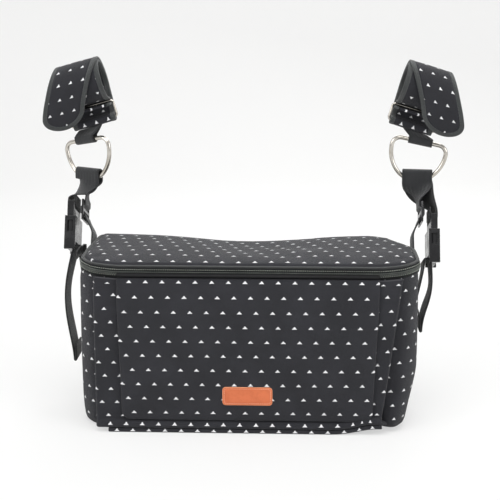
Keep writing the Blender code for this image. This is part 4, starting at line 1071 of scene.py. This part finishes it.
def cuff_panel(label, spec):
    """The printed strap between its bindings: a flat section whose width closes over the round end."""
    half = CUFF_WIDTH / 2 - BINDING_W + 0.0010
    end_long = END_LONG - BINDING_W + 0.0010
    angle = np.linspace(0.02, math.radians(86), 14)
    s = np.concatenate([np.arange(0, ROUND_START - 0.0008, 0.0014), ROUND_START + end_long * np.sin(angle)])
    wide = np.concatenate([np.full(len(s) - 14, half), half * np.cos(angle)])
    t = np.linspace(-1, 1, 13)
    crown = 0.0004 * (1 - t**2)
    w = np.concatenate([t, t[::-1]])[None, :] * wide[:, None]
    n = np.concatenate([PANEL_T / 2 + crown, -PANEL_T / 2 + 0 * crown[::-1]])[None, :]
    points = on_cuff(spec, s[:, None], w, n)
    closed = np.concatenate([w, w[:, :1]], axis=1)
    uv = cloth_map(closed, -s[:, None])
    item = surface(f"cuff_cloth_{label}", points, print_cuff, uv, wrap=True, ends=(True, True))
    put(item, f"cuff_{label}", "fabric_charcoal", f"cuff_{label}")


def cuff_edge(label, spec):
    """The tape folded over the strap's edge: an oval section carried round from one end to the other."""
    half = CUFF_WIDTH / 2 - BINDING_W / 2
    end_long = END_LONG - BINDING_W / 2
    angle = np.linspace(-math.pi / 2, math.pi / 2, 41)[1:-1]
    straight = np.arange(0, ROUND_START, 0.0014)
    s = np.concatenate([straight, ROUND_START + end_long * np.cos(angle), straight[::-1]])
    w = np.concatenate([np.full(len(straight), -half), half * np.sin(angle), np.full(len(straight), half)])
    out_s = np.concatenate([0 * straight, np.cos(angle), 0 * straight])
    out_w = np.concatenate([0 * straight - 1, np.sin(angle), 0 * straight + 1])
    turn = whole_turn(14)
    r = power(np.cos(turn), 0.6) * BINDING_W / 2
    n = power(np.sin(turn), 0.5) * BINDING_T / 2
    points = on_cuff(spec, s[:, None] + r[None, :] * out_s[:, None], w[:, None] + r[None, :] * out_w[:, None],
                     n[None, :])
    run = lengths(np.stack([s, w], -1))
    uv = cloth_map(np.append(r, r[0])[None, :], run[:, None])
    item = surface(f"cuff_edge_{label}", points, binding_finish, uv, wrap=True, ends=(True, True))
    put(item, f"cuff_{label}", "binding", f"cuff_binding_{label}")
    inner = 0.0019
    thread = on_cuff(spec, s - inner * out_s, w - inner * out_w, BINDING_T / 2 - 0.0001)
    above = on_cuff(spec, s - inner * out_s, w - inner * out_w, BINDING_T / 2 + 0.001)
    row = stitches(f"cuff_thread_{label}", thread, above - thread, thread_finish, 0.0030, 0.0021, 0.00032)
    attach(row, f"cuff_{label}")


def cuff_loop(label, spec):
    """The rectangular wire loop under the bar."""
    along, forward, up, centre = cuff_frame(spec)
    half_long = CUFF_WIDTH / 2 + GAP * 3 + LOOP_WIRE / 2
    half_rise = LOOP_RISE / 2
    corner = 0.003
    middle = centre + forward * LOOP_P + up * (UPPER_Q - half_rise)
    spots = np.concatenate([arc((sx * (half_long - corner), sz * (half_rise - corner)), corner, a, a + 90, 9)
                            for sx, sz, a in ((1, 1, 0), (-1, 1, 90), (-1, -1, 180), (1, -1, 270))])
    points = middle + spots[:, :1] * along + spots[:, 1:] * up
    item = wire(f"loop_wire_{label}", points, forward, LOOP_WIRE / 2, nickel_finish)
    put(item, f"cuff_{label}", "nickel", f"wire_loop_{label}")


for label, spec in SIDES.items():
    cuff_panel(label, spec)
    cuff_edge(label, spec)
    cuff_loop(label, spec)

# %% [markdown]
# A bright D-ring hangs under each cuff in a folded webbing tab. The ring is one bent rod: a straight
# bar, two small corners and half an ellipse.

# %% Rings and tabs
RING_WIDTH, RING_HEIGHT, RING_WIRE, RING_CORNER = 0.063, 0.0475, 0.0047, 0.009
WEB_W, WEB_T, TAB_W = 0.032, 0.0016, 0.026
RING_FOLD_R = RING_WIRE / 2 + GAP + WEB_T / 2


def ring_frame(spec):
    """Along the ring's bar, down in its plane, its facing way and the bar's middle."""
    turn = spec["turn"]
    tilt = -spec["side"] * math.radians(11)
    level = np.array([math.cos(turn), -math.sin(turn), 0])
    along = level * math.cos(tilt) + np.array([0, 0, math.sin(tilt)])
    facing = np.array([-math.sin(turn), -math.cos(turn), 0])
    down = np.cross(along, facing)
    down = -down if down[2] > 0 else down
    return along, down, facing, np.array([spec["side"] * HANG_X, HANG_Y, RING_BAR_Z])


def ring_outline():
    """The D: x along the bar, y down."""
    half = (RING_WIDTH - RING_WIRE) / 2
    drop = RING_HEIGHT - RING_WIRE - RING_CORNER
    a = np.radians(np.linspace(90, 0, 10))
    right = np.stack([half - RING_CORNER + RING_CORNER * np.cos(a), RING_CORNER - RING_CORNER * np.sin(a)], -1)
    b = np.radians(np.linspace(0, 180, 49))[1:-1]
    bow = np.stack([half * np.cos(b), RING_CORNER + drop * np.sin(b)], -1)
    bar = np.stack([np.linspace(-half + RING_CORNER, half - RING_CORNER, 12)[1:-1], np.zeros(10)], -1)
    return np.concatenate([right, bow, right[::-1] * (-1, 1), bar])


def ring_rod(label, spec):
    """The D-ring."""
    along, down, facing, centre = ring_frame(spec)
    spots = ring_outline()
    points = centre + spots[:, :1] * along + spots[:, 1:] * down
    item = wire(f"ring_rod_{label}", points, facing, RING_WIRE / 2, nickel_finish, 20)
    put(item, "bag", "nickel", f"d_ring_{label}")


def ring_tab(label, spec):
    """The tab: down from the cuff, round the ring's bar and up again, turning from one slant to the other."""
    along, forward, up, centre = cuff_frame(spec)
    bar_way, down, facing, bar = ring_frame(spec)
    bottom = LOWER_Q - TURN_R - BINDING_T / 2
    top = centre + along * spec["side"] * 0.006 + forward * LOOP_P + up * (bottom - GAP)
    spread = WEB_T / 2 + GAP
    rise = -down * (RING_WIRE / 2 + WEB_T)
    t = np.linspace(0, 1, 10)[:, None]
    a = np.radians(np.linspace(0, 180, 15))[:, None]
    front = (top + forward * spread) * (1 - t) + (bar + facing * RING_FOLD_R + rise) * t
    fold = bar + RING_FOLD_R * (np.cos(a) * facing + np.sin(a) * down)
    back = (top - forward * spread) * t + (bar - facing * RING_FOLD_R + rise) * (1 - t)
    points = np.concatenate([front, fold, back])
    across = np.concatenate([along * (1 - t) + bar_way * t, np.tile(bar_way, (15, 1)), along * t + bar_way * (1 - t)])
    points, across = resample(points, 0.0012, across)
    item = ribbon(f"tab_web_{label}", points, across, TAB_W, WEB_T, tab_finish, square=False)
    put(item, f"cuff_{label}", "webbing", f"ring_tab_{label}")


for label, spec in SIDES.items():
    ring_rod(label, spec)
    ring_tab(label, spec)

# %% [markdown]
# The long straps start on the bag's sides, pass the slide adjusters, turn as they rise, fold over
# the rings and come down to the buckles. Each is one path with a way across at every point.

# %% Long straps
SLOPE = 0.40
PATCH_Z, PATCH_Y, PATCH_LONG = 0.148, 0.043, 0.030
STAND_OFF = 0.0036
ADJUSTER_Z = 0.200
ADJUSTER = dict(width=0.039, height=0.022, bar=0.0035, rail=0.003, thick=0.0022)
BUCKLE = dict(x=0.193, width=0.042, thick=0.0116, bar=0.0036, bar_t=0.005, slot=0.0046, base=0.008, female=0.036)
BUCKLE_FOLD_R = BUCKLE["bar_t"] / 2 + GAP + WEB_T / 2
LEAN = unit((0, SLOPE, 1))


def lean_y(z):
    """Where the leaning strap is at height z, seen from the side."""
    return PATCH_Y + (z - PATCH_Z) * SLOPE


def wrap_bar(centre, out, far):
    """Round a flat bar, from its out side over its far edge."""
    bend = GAP + WEB_T / 2
    thick, tall = BUCKLE["bar_t"] / 2, BUCKLE["bar"] / 2
    spots = np.concatenate([arc((thick, tall), bend, 0, 90, 7), arc((-thick, tall), bend, 90, 180, 7)])
    return centre + spots[:, :1] * out + spots[:, 1:] * far


def turned(turns, leans):
    """Ways across a strap from its turn about the upright and its lean."""
    return np.stack([np.cos(turns), -np.sin(turns) * np.cos(leans), np.sin(turns) * np.sin(leans)], -1)


def long_strap(label, spec):
    """The strap's whole path, from its sewn foot on the bag to its sewn end at the buckle."""
    side = spec["side"]
    along, down, facing, bar = ring_frame(spec)
    half_drop = RING_HEIGHT - RING_WIRE - RING_CORNER
    half = (RING_WIDTH - RING_WIRE) / 2
    sink = RING_CORNER + half_drop * math.sqrt(1 - ((WEB_W / 2 + 0.004) / half) ** 2)
    fold = bar + down * sink + along * side * 0.004 - np.array([0, 0, 0.0004])
    sign = 1 if spec["front"] else -1
    plumb = np.array([0, 0, -1.0])
    bag_leg = fold + facing * sign * RING_FOLD_R
    buckle_leg = fold - facing * sign * RING_FOLD_R
    bag_top, buckle_top = bag_leg + plumb * 0.009, buckle_leg + plumb * 0.009
    out = np.array([float(side), 0, 0])
    wall_x = side * (HALF_WIDTH + GAP + WEB_T / 2)
    free_x = side * (HALF_WIDTH + STAND_OFF + WEB_T / 2)
    low_z = PATCH_Z - PATCH_LONG
    patch_high = np.array([wall_x, PATCH_Y, PATCH_Z])
    clear = np.array([free_x, lean_y(ZIP_Z - 0.006), ZIP_Z - 0.006])
    low_end = np.array([free_x, lean_y(ADJUSTER_Z - 0.011), ADJUSTER_Z - 0.011])
    high_end = np.array([free_x, lean_y(ADJUSTER_Z + 0.011), ADJUSTER_Z + 0.011])
    over_bar = ADJUSTER["bar"] / 2 + 0.001
    under_bars = ADJUSTER["height"] / 2 - ADJUSTER["bar"] - 0.0006
    t = np.linspace(0, 1, 41)[:, None]
    weave = low_end + (high_end - low_end) * t
    away = np.linalg.norm(weave - (low_end + high_end) / 2, axis=1)
    weave = weave + out * ((ADJUSTER["thick"] + 2 * GAP + WEB_T)
                           * smooth((under_bars - away) / (under_bars - over_bar)))[:, None]
    bag_part = join([wall_x, lean_y(low_z), low_z], patch_high,
                    bezier(patch_high, LEAN, clear, LEAN, 0.005, 12)[1:], weave,
                    bezier(high_end, LEAN, bag_top, -plumb, 0.006, 20)[1:], bag_leg)
    a = np.radians(np.linspace(0, 180, 17))[:, None]
    fold_part = fold + RING_FOLD_R * (np.cos(a) * facing * sign - np.sin(a) * plumb)
    male_top = np.array([side * BUCKLE["x"], lean_y(spec["buckle_z"]), spec["buckle_z"]])
    bar_mid = male_top - LEAN * BUCKLE["bar"] / 2
    over = out * BUCKLE_FOLD_R
    male_bend = wrap_bar(bar_mid, out, -LEAN)
    stop = bar_mid - over + LEAN * 0.009
    buckle_part = join(buckle_leg, bezier(buckle_top, plumb, bar_mid + over + LEAN * 0.004, -LEAN, 0.010, 24),
                       male_bend, stop)
    points = join(bag_part, fold_part, buckle_part)
    index = np.arange(len(points))
    first, last = len(bag_part), len(bag_part) + len(fold_part) - 1
    foot = bar_mid[2] + 0.004
    share = np.where(index < first - 1, smooth((points[:, 2] - high_end[2]) / (bag_top[2] - high_end[2])), 1.0)
    share = np.where(index >= last, smooth((points[:, 2] - foot) / (buckle_top[2] - foot)), share)
    share = np.where(index >= len(points) - len(male_bend) - 1, 0.0, share)
    turns = math.pi / 2 + (spec["turn"] - math.pi / 2) * share
    across = turned(turns, math.atan(SLOPE) * (1 - share))
    points, across = resample(points, 0.0011, across)
    item = ribbon(f"strap_web_{label}", settle_strap(points), across, WEB_W, WEB_T, webbing_finish)
    put(item, "bag", "webbing", f"strap_{label}")
    print("strap", label, round(lengths(points)[-1] * 1000), "mm")


for label, spec in SIDES.items():
    long_strap(label, spec)


# %% Side webbing and its tails
def side_strap(label, spec):
    """Sewn low on the bag's side, up round the buckle's lower bar, and down as a tail with a folded hem."""
    side = spec["side"]
    out = np.array([float(side), 0, 0])
    top = np.array([side * BUCKLE["x"], lean_y(spec["buckle_z"]), spec["buckle_z"]])
    foot = top - LEAN * (BUCKLE["bar"] + BUCKLE["slot"] + BUCKLE["base"] + GAP + BUCKLE["female"])
    bar = foot + LEAN * BUCKLE["bar"] / 2
    wall_x = side * (HALF_WIDTH + GAP + WEB_T / 2)
    low_z, high_z = 0.060, 0.094
    bend = wrap_bar(bar, -out, LEAN)
    drop = np.array([side * (BUCKLE["x"] - 0.002), bar[1] - 0.010, spec["tail"]])
    fold_r = WEB_T / 2 + GAP / 2
    a = np.radians(np.linspace(0, 180, 11))[:, None]
    hem = drop - out * fold_r + fold_r * (np.cos(a) * out - np.sin(a) * np.array([0, 0, 1.0]))
    hem_top = hem[-1] + np.array([0, 0, 0.016])
    points = join([wall_x, lean_y(low_z), low_z],
                  bezier((wall_x, lean_y(high_z), high_z), LEAN, bar - out * BUCKLE_FOLD_R, LEAN, 0.012, 24),
                  bend, bezier(bend[-1], -LEAN, drop, (0, 0, -1), 0.030, 30), hem, hem_top)
    index = np.arange(len(points))
    bend_end = len(points) - len(hem) - 30
    leans = math.atan(SLOPE) * (1 - smooth((index - bend_end) / 22))
    across = turned(np.full(len(points), math.pi / 2), leans)
    hang = smooth((index - bend_end) / 30)
    points[:, 0] += side * (spec["bow"] * np.sin(math.pi * hang ** 0.8) - spec["lean_in"] * hang)
    points, across = resample(points, 0.0011, across)
    item = ribbon(f"side_web_{label}", settle_strap(points), across, WEB_W, WEB_T, webbing_finish)
    put(item, "bag", "webbing", f"side_webbing_{label}")


for label, spec in SIDES.items():
    side_strap(label, spec)

# %% [markdown]
# The buckles, the slides and the zip's slider are moulded or cast, and their CAD solids already have
# the right shape. They keep their meshes and get a small bevel and a moulded finish.

# %% Hard parts
def dress(name, finish, width=0.0005):
    """Gives a CAD node its finish and a small round on its edges."""
    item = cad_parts[name]
    item.data.materials.clear()
    item.data.materials.append(finish)
    weld = item.modifiers.new("weld", "WELD")
    weld.merge_threshold = 0.00001
    edge = item.modifiers.new("edge", "BEVEL")
    edge.width = width
    edge.segments = 2
    edge.limit_method = "ANGLE"
    edge.angle_limit = math.radians(35)


for label in SIDES:
    dress(f"buckle_male_{label}", buckle_finish, 0.0010)
    dress(f"buckle_female_{label}", buckle_finish, 0.0020)
    dress(f"slide_adjuster_{label}", buckle_finish, 0.0004)
dress("zip_slider", slider_finish, 0.0004)
dress("zip_pull", slider_finish, 0.0003)
dress("lid_hinge_strip", zip_tape_finish, 0.0002)
# The seam strip's near black is partly painted shade in the crease under the zip.
dress("flap_seam_strip", strip_black_and_shade, 0.0003)
